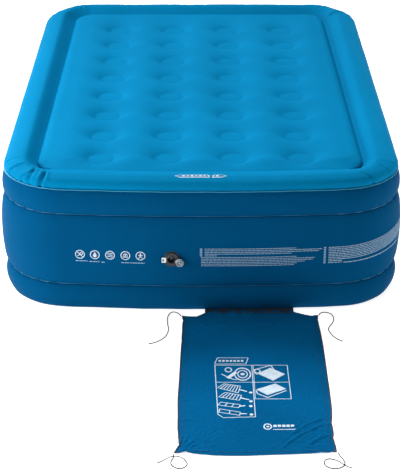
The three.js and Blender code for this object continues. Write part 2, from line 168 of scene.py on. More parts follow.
def smoothstep(t):
    t = np.clip(t, 0, 1)
    return t * t * (3 - 2 * t)


def ripple(values, wavelengths, seed):
    """A smooth uneven wave of about unit height along values, the same on every run."""
    draw = np.random.default_rng(seed)
    total = np.zeros_like(values)
    for length in wavelengths:
        total += np.sin(2 * np.pi * values / length + draw.uniform(0, 2 * np.pi))
    return total / math.sqrt(len(wavelengths))


def round_ripple(s, wavelengths, seed):
    """A ripple along the plan whose waves join up after one full turn."""
    return ripple(s, [PERIMETER / round(PERIMETER / length) for length in wavelengths], seed)


# ---- The plan: distance s runs round the groove line from the middle of the foot end, to +X first ----
ARC = CORNER_RADIUS * math.pi / 2
LEGS = [
    (CENTRE_X, "straight"), (ARC, "corner"), (2 * CENTRE_Y, "straight"), (ARC, "corner"),
    (2 * CENTRE_X, "straight"), (ARC, "corner"), (2 * CENTRE_Y, "straight"), (ARC, "corner"),
    (CENTRE_X, "straight"),
]
PERIMETER = sum(length for length, _ in LEGS)
CORNER_MIDDLES = [
    CENTRE_X + ARC / 2,
    CENTRE_X + 1.5 * ARC + 2 * CENTRE_Y,
    3 * CENTRE_X + 2.5 * ARC + 2 * CENTRE_Y,
    3 * CENTRE_X + 3.5 * ARC + 4 * CENTRE_Y,
]
FOOT_RIGHT, HEAD_RIGHT, HEAD_LEFT, FOOT_LEFT = CORNER_MIDDLES


def plan_at(s):
    """Corner-centre path point and outward angle for each distance s."""
    s = np.mod(np.asarray(s, float), PERIMETER)
    x, y, angle = np.zeros_like(s), np.zeros_like(s), np.zeros_like(s)
    at, point, heading = 0.0, np.array([0.0, -CENTRE_Y]), -math.pi / 2
    for length, kind in LEGS:
        inside = (s >= at) & (s <= at + length + 1e-9)
        run = s[inside] - at
        along = np.array([-math.sin(heading), math.cos(heading)])
        if kind == "straight":
            x[inside] = point[0] + along[0] * run
            y[inside] = point[1] + along[1] * run
            angle[inside] = heading
            point = point + along * length
        else:
            x[inside], y[inside] = point
            angle[inside] = heading + run / CORNER_RADIUS
            heading += math.pi / 2
        at += length
    return x, y, angle


def bowed(x, y):
    """The foot end bows outward, so its points stand further back the further they are from x = 0."""
    return np.where(y < 0, y * (1 - FOOT_BOW / HALF_LENGTH * (x / HALF_WIDTH) ** 2), y)


def place(s, offset, z, end_offset=None):
    """Points at distance s, moved outward by offset, or end_offset along Y."""
    x, y, angle = plan_at(s)
    end_offset = offset if end_offset is None else end_offset
    x = x + (CORNER_RADIUS + offset) * np.cos(angle)
    y = y + (CORNER_RADIUS + end_offset) * np.sin(angle)
    return np.stack([x, bowed(x, y), np.broadcast_to(z, x.shape)], axis=-1)


def shift_groove(points):
    """Moves the top's groove a little outward: more at the foot end, and most on the left."""
    x, y = points[..., 0], points[..., 1]
    toward_head = (1 + y / HALF_LENGTH) / 2
    amount = np.where(x < 0, 0.018 - 0.010 * toward_head, 0.012 - 0.020 * toward_head)
    near_groove = np.exp(-((np.abs(x) - (HALF_WIDTH - BOLSTER_SIDE)) / 0.050) ** 2)
    along_side = smoothstep((HALF_LENGTH - 0.02 - np.abs(y)) / 0.14)
    points[..., 0] = x + np.sign(x) * amount * near_groove * along_side
    return points


def plan_stations(fine=0.006, coarse=0.013):
    """Distances round the plan, closer together at the corners."""
    stations, at = [], 0.0
    for length, kind in LEGS:
        steps = max(2, round(length / (coarse if kind == "straight" else fine)))
        stations.extend(at + length * np.arange(steps) / steps)
        at += length
    return np.array(stations)


def from_place(s, place_s):
    """Signed distance round the plan from place_s."""
    return (s - place_s + PERIMETER / 2) % PERIMETER - PERIMETER / 2


def near_corner(s, reach=0.26):
    """1 at the middle of a corner, fading to 0."""
    gap = np.min([np.abs(from_place(s, corner)) for corner in CORNER_MIDDLES], axis=0)
    return smoothstep(1 - gap / reach)


# ---- Sections of the inflated shell, as functions of t from 0 to 1 ----
def arc_section(low, high, bulge):
    """A band that bulges as a shallow arc from (offset, z) low to high."""
    run = np.array(high) - np.array(low)
    length = np.linalg.norm(run)

    def section(t):
        out = 4 * bulge * t * (1 - t)
        offset = low[0] + run[0] * t + out * run[1] / length
        return offset, low[1] + run[1] * t - out * run[0] / length, offset

    return section


def bolster_section(t):
    """Seam to crest as a quarter ellipse for t up to CREST_T, then an S-curve down to the groove."""
    t = np.asarray(t, float)
    rise = np.clip(t / CREST_T, 0, 1) * np.pi / 2
    fall = np.clip((t - CREST_T) / (1 - CREST_T), 0, 1)
    foot = SEAM_Z + 0.001
    z = foot + (CREST_Z - foot) * np.sin(rise)
    drop = (1 - np.cos(np.pi * fall)) / 2 * 0.75 + fall ** 2.6 * 0.25
    z = np.where(t > CREST_T, CREST_Z - (CREST_Z - GROOVE_Z + 0.003) * drop, z)
    belly = BOLSTER_BELLY * np.sin(np.pi * np.clip(t / 0.30, 0, 1))
    side, end = [
        belly - SEAM_INSET + (crest - SEAM_INSET) * (np.cos(rise) - 1) - (width + 0.002 - crest) * fall
        for crest, width in ((CREST_INSET_SIDE, BOLSTER_SIDE), (CREST_INSET_END, BOLSTER_END))
    ]
    return side, z, end


lower_section = arc_section((-FOOTPRINT_INSET, 0.0023), (0, LOWER_GROOVE_Z), LOWER_BULGE)
middle_section = arc_section((0, LOWER_GROOVE_Z), (0, UPPER_GROOVE_Z), MIDDLE_BULGE)
upper_section = arc_section((0, UPPER_GROOVE_Z), (-SEAM_INSET, SEAM_Z - 0.0006), UPPER_BULGE)


def shell_points(section, t, s, lift=0.0):
    """Surface points for paired arrays t and s, lifted along the section's normal."""
    side, z, end = section(t)
    step = 1e-3
    ahead_side, ahead_z, ahead_end = section(np.minimum(t + step, 1))
    back_side, back_z, back_end = section(np.maximum(t - step, 0))
    _, _, angle = plan_at(s)
    along = np.cos(angle) ** 2
    run = (ahead_side - back_side) * along + (ahead_end - back_end) * (1 - along)
    rise = ahead_z - back_z
    size = np.maximum(np.hypot(run, rise), 1e-9)
    out, up = rise / size * lift, -run / size * lift
    return place(s, side + out, z + up, end + out)


def shell(name, section, rows, lift, material):
    """A band of the shell swept round the plan, with its surface moved by lift(t, s)."""
    s = plan_stations()
    t = np.linspace(0, 1, rows)
    grid_s, grid_t = np.meshgrid(s, t, indexing="ij")
    points = shell_points(section, grid_t, grid_s, lift(grid_t, grid_s))
    points[..., 2] = np.maximum(points[..., 2], 0.0004)
    if section is bolster_section:
        points = shift_groove(points)
    faces = grid_faces(len(s), rows, wrap_rows=True)
    piece = link_mesh(name, points.reshape(-1, 3), faces, material)
    return thicken(piece)


# ---- Materials ----
def add_node(tree, kind, vector=None, **values):
    """A shader node with its input values set, placed by vector."""
    node = tree.nodes.new("ShaderNode" + kind)
    for name, value in values.items():
        node.inputs[name].default_value = value
    if vector:
        tree.links.new(vector, node.inputs["Vector"])
    return node


def node_material(name, base, roughness, variation=0.12, variation_scale=3.0, specular=0.5):
    """A material whose colour drifts softly; returns it with its tree, shader and place on the piece."""
    material = bpy.data.materials.new(name)
    material.use_nodes = True
    tree = material.node_tree
    shader = tree.nodes["Principled BSDF"]
    shader.inputs["Roughness"].default_value = roughness
    shader.inputs["Specular IOR Level"].default_value = specular
    where = add_node(tree, "TexCoord").outputs["Object"]
    noise = add_node(tree, "TexNoise", where, Scale=variation_scale, Detail=4.0)
    ramp = add_node(tree, "ValToRGB")
    shades = ((0.3, 1 - variation), (0.7, 1 + variation))
    for element, (position, share) in zip(ramp.color_ramp.elements, shades):
        element.position = position
        element.color = [min(1, c * share) for c in base] + [1]
    tree.links.new(noise.outputs["Fac"], ramp.inputs["Fac"])
    tree.links.new(ramp.outputs["Color"], shader.inputs["Base Color"])
    return material, tree, shader, where


def add_bump(tree, shader, height, strength, distance):
    bump = add_node(tree, "Bump", Strength=strength, Distance=distance)
    tree.links.new(height, bump.inputs["Height"])
    tree.links.new(bump.outputs["Normal"], shader.inputs["Normal"])


def add_math(tree, operation, *inputs):
    """A maths node; each input is a number or another node's output."""
    node = add_node(tree, "Math")
    node.operation = operation
    for socket, value in zip(node.inputs, inputs):
        if isinstance(value, float):
            socket.default_value = value
        else:
            tree.links.new(value, socket)
    return node.outputs["Value"]


def woven(name, base, roughness, thread=0.0011, weave=0.5, **options):
    """Cloth-faced laminate: crossed thread waves in all three planes, over a fine grain, as bump."""
    material, tree, shader, where = node_material(name, base, roughness, **options)
    waves = []
    for direction in ("X", "Y", "Z"):
        wave = add_node(tree, "TexWave", where, Scale=WAVE_SCALE / thread, Distortion=0.6, Detail=1.0)
        wave.bands_direction = direction
        waves.append(wave.outputs["Fac"])
    crossed = add_math(tree, "ADD", add_math(tree, "ADD", *waves[:2]), waves[2])
    grain = add_node(tree, "TexNoise", where, Scale=260.0, Detail=3.0)
    height = add_math(tree, "MULTIPLY_ADD", grain.outputs["Fac"], 1.4, crossed)
    add_bump(tree, shader, height, weave, 0.00025)
    return material


def moulded(name, base, roughness, **options):
    """Moulded plastic or rubber with a faint orange-peel surface."""
    material, tree, shader, where = node_material(name, base, roughness, **options)
    grain = add_node(tree, "TexNoise", where, Scale=900.0)
    add_bump(tree, shader, grain.outputs["Fac"], 0.25, 0.0001)
    return material


# A wave texture's Scale times its wavelength in metres.
WAVE_SCALE = 0.314

TOP = woven("top_laminate", (0.0005, 0.162, 0.340), 0.50, variation=0.05, specular=0.004)
# The wall laminate is the top's blue darkened: painted shade for walls that face away from the light.
WALL_PAINTED_SHADE = woven("wall_laminate", (0.0003, 0.063, 0.164), 0.46, variation=0.06, specular=0.004)
INNER = woven("inner_laminate", (0.03, 0.2, 0.4), 0.6)
# The seam piping is a lighter blue than the laminate: a painted highlight along the lit lip of the seam.
PIPING_PAINTED_HIGHLIGHT = woven("seam_piping", (0.05, 0.36, 0.56), 0.45, specular=0.2)
NAVY = woven("navy_tape", (0.005, 0.018, 0.045), 0.75, thread=0.0016, weave=0.9)
CLOTH = woven("wrap_cloth", (0.0005, 0.089, 0.228), 0.72, thread=0.0008, weave=0.7, specular=0.006)
CORD = woven("tie_cord", (0.006, 0.005, 0.005), 0.85, thread=0.0012, weave=1.0, specular=0.2)
INK = {"variation": 0.1, "variation_scale": 60, "specular": 0.2}
PRINT = moulded("white_print", (0.50, 0.60, 0.68), 0.6, **INK)
GREY_PRINT = moulded("grey_print", (0.26, 0.40, 0.53), 0.6, **INK)
DARK_PLASTIC = moulded("valve_dark_plastic", (0.012, 0.015, 0.02), 0.35, variation=0.15)
WHITE_PLASTIC = moulded("valve_white_plastic", (0.75, 0.79, 0.8), 0.35)
RUBBER = moulded("seal_rubber", (0.012, 0.012, 0.013), 0.7)
CAP_PLASTIC = moulded("cap_grey_plastic", (0.42, 0.5, 0.55), 0.3, variation=0.08)
CAP_PLASTIC.node_tree.nodes["Principled BSDF"].inputs["Transmission Weight"].default_value = 0.35


def finish_piece(piece, body, slot, *nodes):
    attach(piece, body)
    if nodes:
        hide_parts(*nodes)
    return piece


# ---- Tie cords: the frame's routes, in metres ----
CORD_DIAMETER = 0.003
FLOOR_Z = 0.0018
OVER_Z = 0.0052
CORD_ROUTES = {
    "tie_cord_near_left": [
        [-0.067, -1.020], [-0.075, -1.003], [-0.085, -0.993], [-0.096, -0.991], [-0.105, -1.000],
        [-0.111, -1.020], [-0.113, -1.045], [-0.111, -1.075], [-0.108, -1.105], [-0.110, -1.132],
        [-0.118, -1.158], [-0.132, -1.179], [-0.150, -1.195], [-0.171, -1.205],
    ],
    "tie_cord_near_right": [
        [0.396, -1.013], [0.402, -1.000], [0.411, -0.993], [0.423, -0.994], [0.434, -1.000],
        [0.442, -1.015], [0.444, -1.040], [0.437, -1.068], [0.426, -1.090], [0.421, -1.108],
        [0.425, -1.132], [0.434, -1.156], [0.446, -1.174], [0.461, -1.187],
    ],
    "tie_cord_far_left": [
        [-0.079, -1.830], [-0.079, -1.841], [-0.082, -1.854], [-0.086, -1.868], [-0.085, -1.881],
        [-0.077, -1.893], [-0.065, -1.900], [-0.052, -1.898], [-0.043, -1.889], [-0.040, -1.876],
        [-0.045, -1.863, 0.0026], [-0.055, -1.852, 0.0042], [-0.068, -1.846, OVER_Z],
        [-0.082, -1.846, OVER_Z], [-0.096, -1.853, 0.0038], [-0.109, -1.863, 0.0024], [-0.125, -1.874],
    ],
    "tie_cord_far_right": [
        [0.392, -1.822], [0.396, -1.838], [0.403, -1.855], [0.407, -1.870], [0.405, -1.883],
        [0.397, -1.894], [0.384, -1.900], [0.369, -1.900], [0.356, -1.892], [0.349, -1.880],
        [0.349, -1.867], [0.356, -1.856], [0.367, -1.853], [0.379, -1.859, 0.0026],
        [0.389, -1.869, 0.0042], [0.397, -1.880, OVER_Z], [0.406, -1.890, OVER_Z],
        [0.415, -1.896, 0.0038], [0.426, -1.899, 0.0022],
    ],
}


def smooth_route(route, spacing=0.0012):
    """Centripetal curve through the route's points, evenly spaced."""
    points = [np.array([*p, FLOOR_Z][:3], float) if len(p) == 2 else np.array(p, float) for p in route]
    points = [2 * points[0] - points[1], *points, 2 * points[-1] - points[-2]]
    line = []
    for a, b, c, d in zip(points, points[1:], points[2:], points[3:]):
        t1 = np.linalg.norm(b - a) ** 0.5
        t2 = t1 + np.linalg.norm(c - b) ** 0.5
        t3 = t2 + np.linalg.norm(d - c) ** 0.5
        for t in np.linspace(t1, t2, 12, endpoint=False):
            ab = (t1 - t) / t1 * a + t / t1 * b
            bc = (t2 - t) / (t2 - t1) * b + (t - t1) / (t2 - t1) * c
            cd = (t3 - t) / (t3 - t2) * c + (t - t2) / (t3 - t2) * d
            abc = (t2 - t) / t2 * ab + t / t2 * bc
            bcd = (t3 - t) / (t3 - t1) * bc + (t - t1) / (t3 - t1) * cd
            line.append((t2 - t) / (t2 - t1) * abc + (t - t1) / (t2 - t1) * bcd)
    line.append(points[-2])
    line = np.array(line)
    distance = np.concatenate([[0], np.cumsum(np.linalg.norm(np.diff(line, axis=0), axis=1))])
    count = max(2, round(distance[-1] / spacing))
    even = np.linspace(0, distance[-1], count + 1)
    return np.stack([np.interp(even, distance, line[:, k]) for k in range(3)], axis=1), distance[-1]


def braided_tube(name, line, diameter, material, sides=12):
    """A round cord along line, its surface raised in a crossing braid, with closed melted tips."""
    tangents = np.gradient(line, axis=0)
    tangents /= np.linalg.norm(tangents, axis=1)[:, None]
    side = np.cross(tangents, [0, 0, 1])
    side /= np.linalg.norm(side, axis=1)[:, None]
    up = np.cross(side, tangents)
    count = len(line)
    turn = 2 * np.pi * np.arange(sides) / sides
    row = np.arange(count)[:, None]
    braid = np.cos(2 * turn[None] + row * 0.9) * np.cos(2 * turn[None] - row * 0.9)
    radius = diameter / 2 * (1 + 0.06 * braid)
    end = np.minimum(row, count - 1 - row)
    radius = radius * np.where(end < 2, 0.72 + 0.14 * end, 1.0)
    points = (line[:, None] + side[:, None] * (np.cos(turn) * radius)[..., None]
              + up[:, None] * (np.sin(turn) * radius)[..., None])
    vertices = [*points.reshape(-1, 3), line[0], line[-1]]
    faces = [f[::-1] for f in grid_faces(count, sides, wrap_columns=True)]
    first, last = count * sides, count * sides + 1
    for j in range(sides):
        k = (j + 1) % sides
        faces.append((first, j, k))
        faces.append((last, (count - 1) * sides + k, (count - 1) * sides + j))
    return link_mesh(name, vertices, faces, material)


def make_cords():
    for name, route in CORD_ROUTES.items():
        line, length = smooth_route(route)
        cord = braided_tube(name + "_braid", line, CORD_DIAMETER, CORD)
        finish_piece(cord, "wrap", "tie_cord", name)


make_cords()


# ---- Side walls ----
GROOVE_SHOULDER = 0.0085
SHOULDER_REACH = 0.015
GROOVE_DEPTH = 0.0022
BAND_FLATTENING = 0.0040


def pucker(s, distance, seed, height=0.0011, reach=0.022):
    """Short gathers that run away from a groove, strongest at the corners."""
    strength = 0.35 + 2.6 * near_corner(s)
    gathers = np.maximum(round_ripple(s, [0.019, 0.027, 0.041], seed), -0.6)
    return -height * strength * np.abs(gathers) * np.exp(-distance / reach)


def wall_lift(section, low_z, high_z, seed, foot=False):
    """How far a wall band stands out: full shoulders beside its grooves, gathers, and slow waves."""

    def lift(t, s):
        z = section(t)[1]
        above, below = z - low_z, high_z - z
        total = pucker(s, above, seed) + pucker(s, below, seed + 1)
        shoulders = (1 - np.exp(-above / SHOULDER_REACH)) * (1 - np.exp(-below / SHOULDER_REACH))
        total += GROOVE_SHOULDER * shoulders
        total -= GROOVE_DEPTH + BAND_FLATTENING * 4 * t * (1 - t)
        total += 0.0008 * round_ripple(s, [0.31, 0.47, 0.83], seed + 2) * np.sin(np.pi * t)
        if foot:
            total += 0.0014 * round_ripple(s, [0.12, 0.2, 0.33], seed + 3) * np.exp(-z / 0.02)
        return total

    return lift


middle_lift = wall_lift(middle_section, LOWER_GROOVE_Z, UPPER_GROOVE_Z, 21)


# The valve's seat in the foot wall.
valve_low, valve_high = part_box("valve_base")
VALVE = Vector((
    (valve_low.x + valve_high.x) / 2,
    0.001 - (HALF_LENGTH + MIDDLE_BULGE),
    (valve_low.z + valve_high.z) / 2,
))
VALVE_HOLE = 0.0242
VALVE_SEAT = 0.070
SEAT_EASE = 0.036


def open_valve_hole(wall):
    """Flattens the wall round the valve and opens a round hole for its ring."""
    mesh = wall.data
    moved = set()
    for vertex in mesh.vertices:
        dx, dz = vertex.co.x - VALVE.x, vertex.co.z - VALVE.z
        r = math.hypot(dx, dz)
        if vertex.co.y > 0 or r > VALVE_SEAT:
            continue
        flat = float(smoothstep(np.array((VALVE_SEAT - r) / SEAT_EASE)))
        vertex.co.y += flat * (VALVE.y - 0.0006 - vertex.co.y)
        if r < VALVE_HOLE:
            moved.add(vertex.index)
            scale = VALVE_HOLE / max(r, 1e-6)
            vertex.co.x, vertex.co.z = VALVE.x + dx * scale, VALVE.z + dz * scale

    def cut(bm):
        inside = [face for face in bm.faces if all(vertex.index in moved for vertex in face.verts)]
        bmesh.ops.delete(bm, geom=inside, context="FACES")

    edit_mesh(mesh, cut)


def make_walls():
    lower_lift = wall_lift(lower_section, -0.05, LOWER_GROOVE_Z, 11, foot=True)
    upper_lift = wall_lift(upper_section, UPPER_GROOVE_Z, SEAM_Z, 31)
    for band, section, rows, lift in (
        ("lower", lower_section, 22, lower_lift),
        ("middle", middle_section, 52, middle_lift),
        ("upper", upper_section, 22, upper_lift),
    ):
        # The wall skins take the darkened laminate, whose colour is painted shade.
        wall = shell(f"{band}_wall_skin", section, rows, lift, WALL_PAINTED_SHADE)
        if band == "middle":
            open_valve_hole(wall)
        finish_piece(wall, "mattress", "wall_laminate", f"side_wall_{band}")


make_walls()


# ---- Edge bolster, with pleats where it turns the corners ----
# Each fold: where it is from the middle of its corner, its depth, half-width, reach up and slant.
FOLDS = {
    FOOT_LEFT: [
        (-0.052, 0.0085, 0.0050, 0.50, -0.05), (-0.020, 0.0050, 0.0038, 0.40, 0.03),
        (0.030, 0.0060, 0.0040, 0.55, -0.04), (0.062, 0.0090, 0.0046, 0.60, 0.05),
        (0.094, 0.0125, 0.0050, 0.52, -0.03), (0.126, 0.0045, 0.0036, 0.62, 0.06),
        (-0.100, 0.0030, 0.0040, 0.50, 0.04),
    ],
    FOOT_RIGHT: [
        (-0.062, 0.0062, 0.0046, 0.36, 0.05), (0.020, 0.0030, 0.0042, 0.45, -0.03),
        (0.085, 0.0028, 0.0040, 0.50, 0.03), (-0.100, 0.0026, 0.0036, 0.55, -0.04),
    ],
    HEAD_RIGHT: [(-0.070, 0.0070, 0.0070, 0.75, 0.03), (0.045, 0.0050, 0.0060, 0.60, -0.03)],
    HEAD_LEFT: [
        (-0.050, 0.0060, 0.0060, 0.65, 0.04), (0.060, 0.0080, 0.0070, 0.80, -0.02),
        (0.000, 0.0030, 0.0050, 0.50, 0.03),
    ],
}
CROSS_CREASES = [
    (RANDOM.uniform(0, PERIMETER), RANDOM.uniform(0.0005, 0.0015), RANDOM.uniform(0.003, 0.007))
    for _ in range(54)
]


def corner_folds(t, s):
    """Sharp valleys with a puffed fold on each side."""
    total = np.zeros(np.broadcast(t, s).shape)
    for corner, folds in FOLDS.items():
        for offset, depth, width, reach, slant in folds:
            along = from_place(s, corner + offset) + slant * t + 0.005 * np.sin(9 * t + 40 * offset)
            fade = smoothstep((reach - t) / 0.18) * smoothstep((t + 0.03) / 0.08)
            valley = np.exp(-np.abs(along / width) ** 1.3)
            puff = np.exp(-((np.abs(along) - 2.6 * width) / (1.6 * width)) ** 2)
            total += fade * depth * (0.28 * puff - valley)
    return total


def bolster_lift(t, s):
    total = corner_folds(t, s)
    for place_s, depth, width in CROSS_CREASES:
        along = from_place(s, place_s)
        total -= depth * np.exp(-(along / width) ** 2) * np.sin(np.pi * np.clip(t * 1.1, 0, 1)) ** 0.5
    total += pucker(s, t * 0.11, 41, height=0.0009, reach=0.02)
    total += pucker(s, (1 - t) * 0.1, 43, height=0.0008, reach=0.014)
    outline = place(s, 0.0, 0.0)
    x, y = outline[..., 0], outline[..., 1]
    crest = np.exp(-((t - CREST_T) / 0.2) ** 2)
    total += crest * 0.0045 * (y / HALF_LENGTH)
    groove_x = place(s, -BOLSTER_SIDE, 0.0, -BOLSTER_END)[..., 0]
    foot = smoothstep((HALF_WIDTH - BOLSTER_SIDE - np.abs(groove_x)) / FOOT_FILL_EASE) * (y < -CENTRE_Y)
    total += FOOT_GROOVE_FILL * foot * smoothstep((t - 0.5) / 0.5)
    left = smoothstep((-x - 0.5) / 0.12)
    gathers = round_ripple(s, [0.0125, 0.0173, 0.0241], 45)
    total += 0.00045 * (0.35 + left) * gathers * np.sin(np.pi * np.clip(t * 1.2, 0, 1))
    return total + 0.0008 * round_ripple(s, [0.23, 0.37, 0.61], 44) * np.sin(np.pi * t)


def make_bolster():
    bolster = shell("bolster_skin", bolster_section, 46, bolster_lift, TOP)
    finish_piece(bolster, "mattress", "top_laminate", "edge_bolster")


make_bolster()


def swept_ring(name, rings, material):
    """A closed band whose section's corners follow the given rings of points."""
    points = np.stack(rings, axis=1)
    faces = grid_faces(*points.shape[:2], wrap_rows=True, wrap_columns=True)
    return link_mesh(name, points.reshape(-1, 3), faces, material)


def make_piping():
    """The welded flange at the seam: a thin lip that stands out and waves slightly, in a lighter blue that
    is a painted highlight.
    """
    s = plan_stations()
    wave = 0.0006 * round_ripple(s, [0.09, 0.17, 0.29], 51) + 0.3 * corner_folds(np.zeros_like(s), s)
    loops = [(-0.0035, -0.0008), (0.0044, -0.0009), (0.0052, 0.0), (0.0044, 0.0009), (-0.0035, 0.0009)]
    rings = [place(s, offset - SEAM_INSET + 0.5 * wave, SEAM_Z + z + wave) for offset, z in loops]
    finish_piece(swept_ring("seam_flange", rings, PIPING_PAINTED_HIGHLIGHT), "mattress", "seam_piping", "top_seam_flange")


make_piping()


# ---- Sleeping panel ----
def rounded_half_width(y, half_width, half_length, radius):
    over = np.clip(np.abs(y) - (half_length - radius), 0, radius)
    return half_width - radius + np.sqrt(np.maximum(radius ** 2 - over ** 2, 0))


def edge_distance(x, y, half_width, half_length, radius):
    """Distance in from a rounded rectangle's outline."""
    px = np.abs(x) - (half_width - radius)
    py = np.abs(y) - (half_length - radius)
    outside = np.hypot(np.maximum(px, 0), np.maximum(py, 0))
    return radius - outside - np.minimum(np.maximum(px, py), 0)


RING_RADIUS = 0.045
DIMPLE_DEPTH = 0.0165
DISC_CROWN = 0.0012
COLUMN_GAP = COIL_X[1] - COIL_X[0]


def between_columns(x):
    """0 on a line of coils, 1 midway between two lines."""
    return 0.5 - 0.5 * np.cos(2 * np.pi * (x - COIL_X[0]) / COLUMN_GAP)


def dimple(dx, dy):
    """Height near a coil: a bowl, longer toward the head end, round a flat weld disc with a sunk rim."""
    r = np.hypot(dx, dy)
    reach = 0.030 + 0.012 * dy / np.maximum(r, 1e-6)
    bowl = -DIMPLE_DEPTH * np.exp(-np.maximum(r - RING_RADIUS, 0) / reach)
    disc = DISC_CROWN * (1 - np.clip(r / RING_RADIUS, 0, 1) ** 5)
    return bowl + disc


def row_valley(x, y, row_y):
    """The shallow valley along a row of coils, with a wavy ledge along its near side."""
    between = between_columns(x)
    wave = 0.046 * between ** 0.8 - 0.006 * np.sin(2 * np.pi * (x - COIL_X[0]) / COLUMN_GAP)
    behind = y - (row_y - 0.049 + wave)
    ledge = 1 / (1 + np.exp(-behind / 0.0024)) * np.exp(-np.maximum(behind, 0) / 0.040)
    fade = smoothstep((COIL_X[-1] + 0.115 - np.abs(x)) / 0.08)
    return -fade * (0.0034 - 0.0012 * between) * ledge


def rim_height(x, plain_y):
    """Rise from the groove: quick along the sides and head end, gentle at the foot end."""
    half_width, half_length = HALF_WIDTH - BOLSTER_SIDE, HALF_LENGTH - BOLSTER_END
    inset = edge_distance(x, plain_y, half_width, half_length, PANEL_CORNER)
    near_foot = smoothstep(1 - (half_length + plain_y - 0.02) / 0.10)
    foot = near_foot * smoothstep((half_width - np.abs(x)) / FOOT_FILL_EASE)
    t = np.clip(inset / (0.036 + 0.085 * foot), 0, 1)
    rise = (1 - (1 - t) ** 2.2) ** (0.5 + 0.55 * foot)
    low = GROOVE_Z - 0.004 + FOOT_GROOVE_FILL * foot
    return low + (PANEL_Z - 0.0015 - low) * rise, inset


def panel_height(x, y, plain_y):
    z, inset = rim_height(x, plain_y)
    for row_y in COIL_Y:
        z = z + row_valley(x, y, row_y)
        for column_x in COIL_X:
            z = z + dimple(x - column_x, y - row_y)
    ease = smoothstep(inset / 0.09)
    unevenness = ripple(x + 0.3 * y, [0.11, 0.17], 61) * ripple(y - 0.2 * x, [0.13, 0.21], 62)
    return z + ease * (0.0045 * between_columns(x) + 0.0005 * unevenness)


def flat_grid(half_width, half_length, radius, columns, rows):
    """x, y and unbowed y of a grid that fills a rounded rectangle with a bowed foot end."""
    y = np.linspace(-half_length, half_length, rows)
    u = np.linspace(-1, 1, columns)
    x = rounded_half_width(y, half_width, half_length, radius)[:, None] * u[None]
    plain_y = np.broadcast_to(y[:, None], x.shape)
    return x, bowed(x, plain_y), plain_y


def make_panel(columns=260, rows=440):
    half_width, half_length = HALF_WIDTH - BOLSTER_SIDE, HALF_LENGTH - BOLSTER_END
    x, y, plain_y = flat_grid(half_width, half_length, PANEL_CORNER, columns, rows)
    points = shift_groove(np.stack([x, y, panel_height(x, y, plain_y)], axis=-1))
    faces = [f[::-1] for f in grid_faces(rows, columns)]
    panel = link_mesh("sleeping_panel_skin", points.reshape(-1, 3), faces, TOP)
    thicken(panel)
    finish_piece(panel, "mattress", "top_laminate", "sleeping_panel")


make_panel()


# ---- Underside ----
def make_underside(columns=181, rows=240):
    """The flat sheet, raised along its three welded webs, and the narrow flange round it."""
    edge = FOOTPRINT_INSET + 0.003
    x, y, _ = flat_grid(HALF_WIDTH - edge, HALF_LENGTH - edge, CORNER_RADIUS - edge, columns, rows)
    weld = np.zeros_like(x)
    for web_x in (-0.33, 0.0, 0.33):
        weld += np.exp(-((x - web_x) / 0.012) ** 2) * smoothstep((0.81 - np.abs(y)) / 0.03)
    points = np.stack([x, y, 0.0002 + 0.0022 * weld], axis=-1)
    # The underside takes the same darkened laminate, with its painted shade.
    sheet = link_mesh("underside_skin", points.reshape(-1, 3), grid_faces(rows, columns), WALL_PAINTED_SHADE)
    thicken(sheet)
    finish_piece(sheet, "mattress", "wall_laminate", "bottom_sheet")
    s = plan_stations()
    outer, inner = -FOOTPRINT_INSET + 0.003, -edge
    low, high = 0.0001, 0.0017
    loops = [(inner, low), (outer, low), (outer + 0.0004, (low + high) / 2), (outer, high), (inner, high)]
    flange = swept_ring("bottom_weld_flange", [place(s, offset, z) for offset, z in loops], NAVY)
    finish_piece(flange, "mattress", "navy_tape", "bottom_seam_flange")


make_underside()

# ---- Inner parts keep their frame shapes ----
INNER_PARTS = ("air_coil", "base_web", "middle_diaphragm", "lower_tie", "bolster_divider")
for node_name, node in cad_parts.items():
    if node_name.startswith(INNER_PARTS):
        node.data.materials.clear()
        node.data.materials.append(INNER)


# ---- Wrap flap ----
# Its outline on the floor. The sides run outward from the mattress, the near and far edges to the right.
WRAP_LEFT = [
    (-0.063, -1.0235), (-0.061, -1.127), (-0.0635, -1.267), (-0.066, -1.400), (-0.0696, -1.527),
    (-0.0690, -1.636), (-0.0714, -1.734), (-0.078, -1.826),
]
WRAP_RIGHT = [
    (0.3925, -1.016), (0.392, -1.127), (0.393, -1.233), (0.392, -1.388), (0.392, -1.588),
    (0.3886, -1.665), (0.388, -1.820),
]
WRAP_NEAR = [
    (-0.063, -1.0235), (-0.0145, -1.0230), (0.022, -0.9870), (0.308, -0.9870), (0.345, -1.0085),
    (0.370, -1.0190), (0.3925, -1.016),
]
WRAP_FAR = [
    (-0.078, -1.826), (-0.047, -1.824), (-0.012, -1.830), (0.053, -1.835), (0.131, -1.835),
    (0.209, -1.830), (0.302, -1.827), (0.349, -1.827), (0.388, -1.820),
]
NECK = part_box("wrap_connector")


def along_edge(edge, fraction, axis):
    """The other coordinate of an edge, at a fraction of its way along one axis."""
    points = np.array(edge)
    run = (points[:, axis] - points[0, axis]) / (points[-1, axis] - points[0, axis])
    return np.interp(fraction, run, points[:, 1 - axis])


def wrap_outline(u, v):
    """x, y of the flat flap: u runs from its left hem to its right one, v from the mattress outward."""
    left, right = along_edge(WRAP_LEFT, v, 1), along_edge(WRAP_RIGHT, v, 1)
    near, far = along_edge(WRAP_NEAR, u, 0), along_edge(WRAP_FAR, u, 0)
    return left + (right - left) * u, near + (far - near) * v


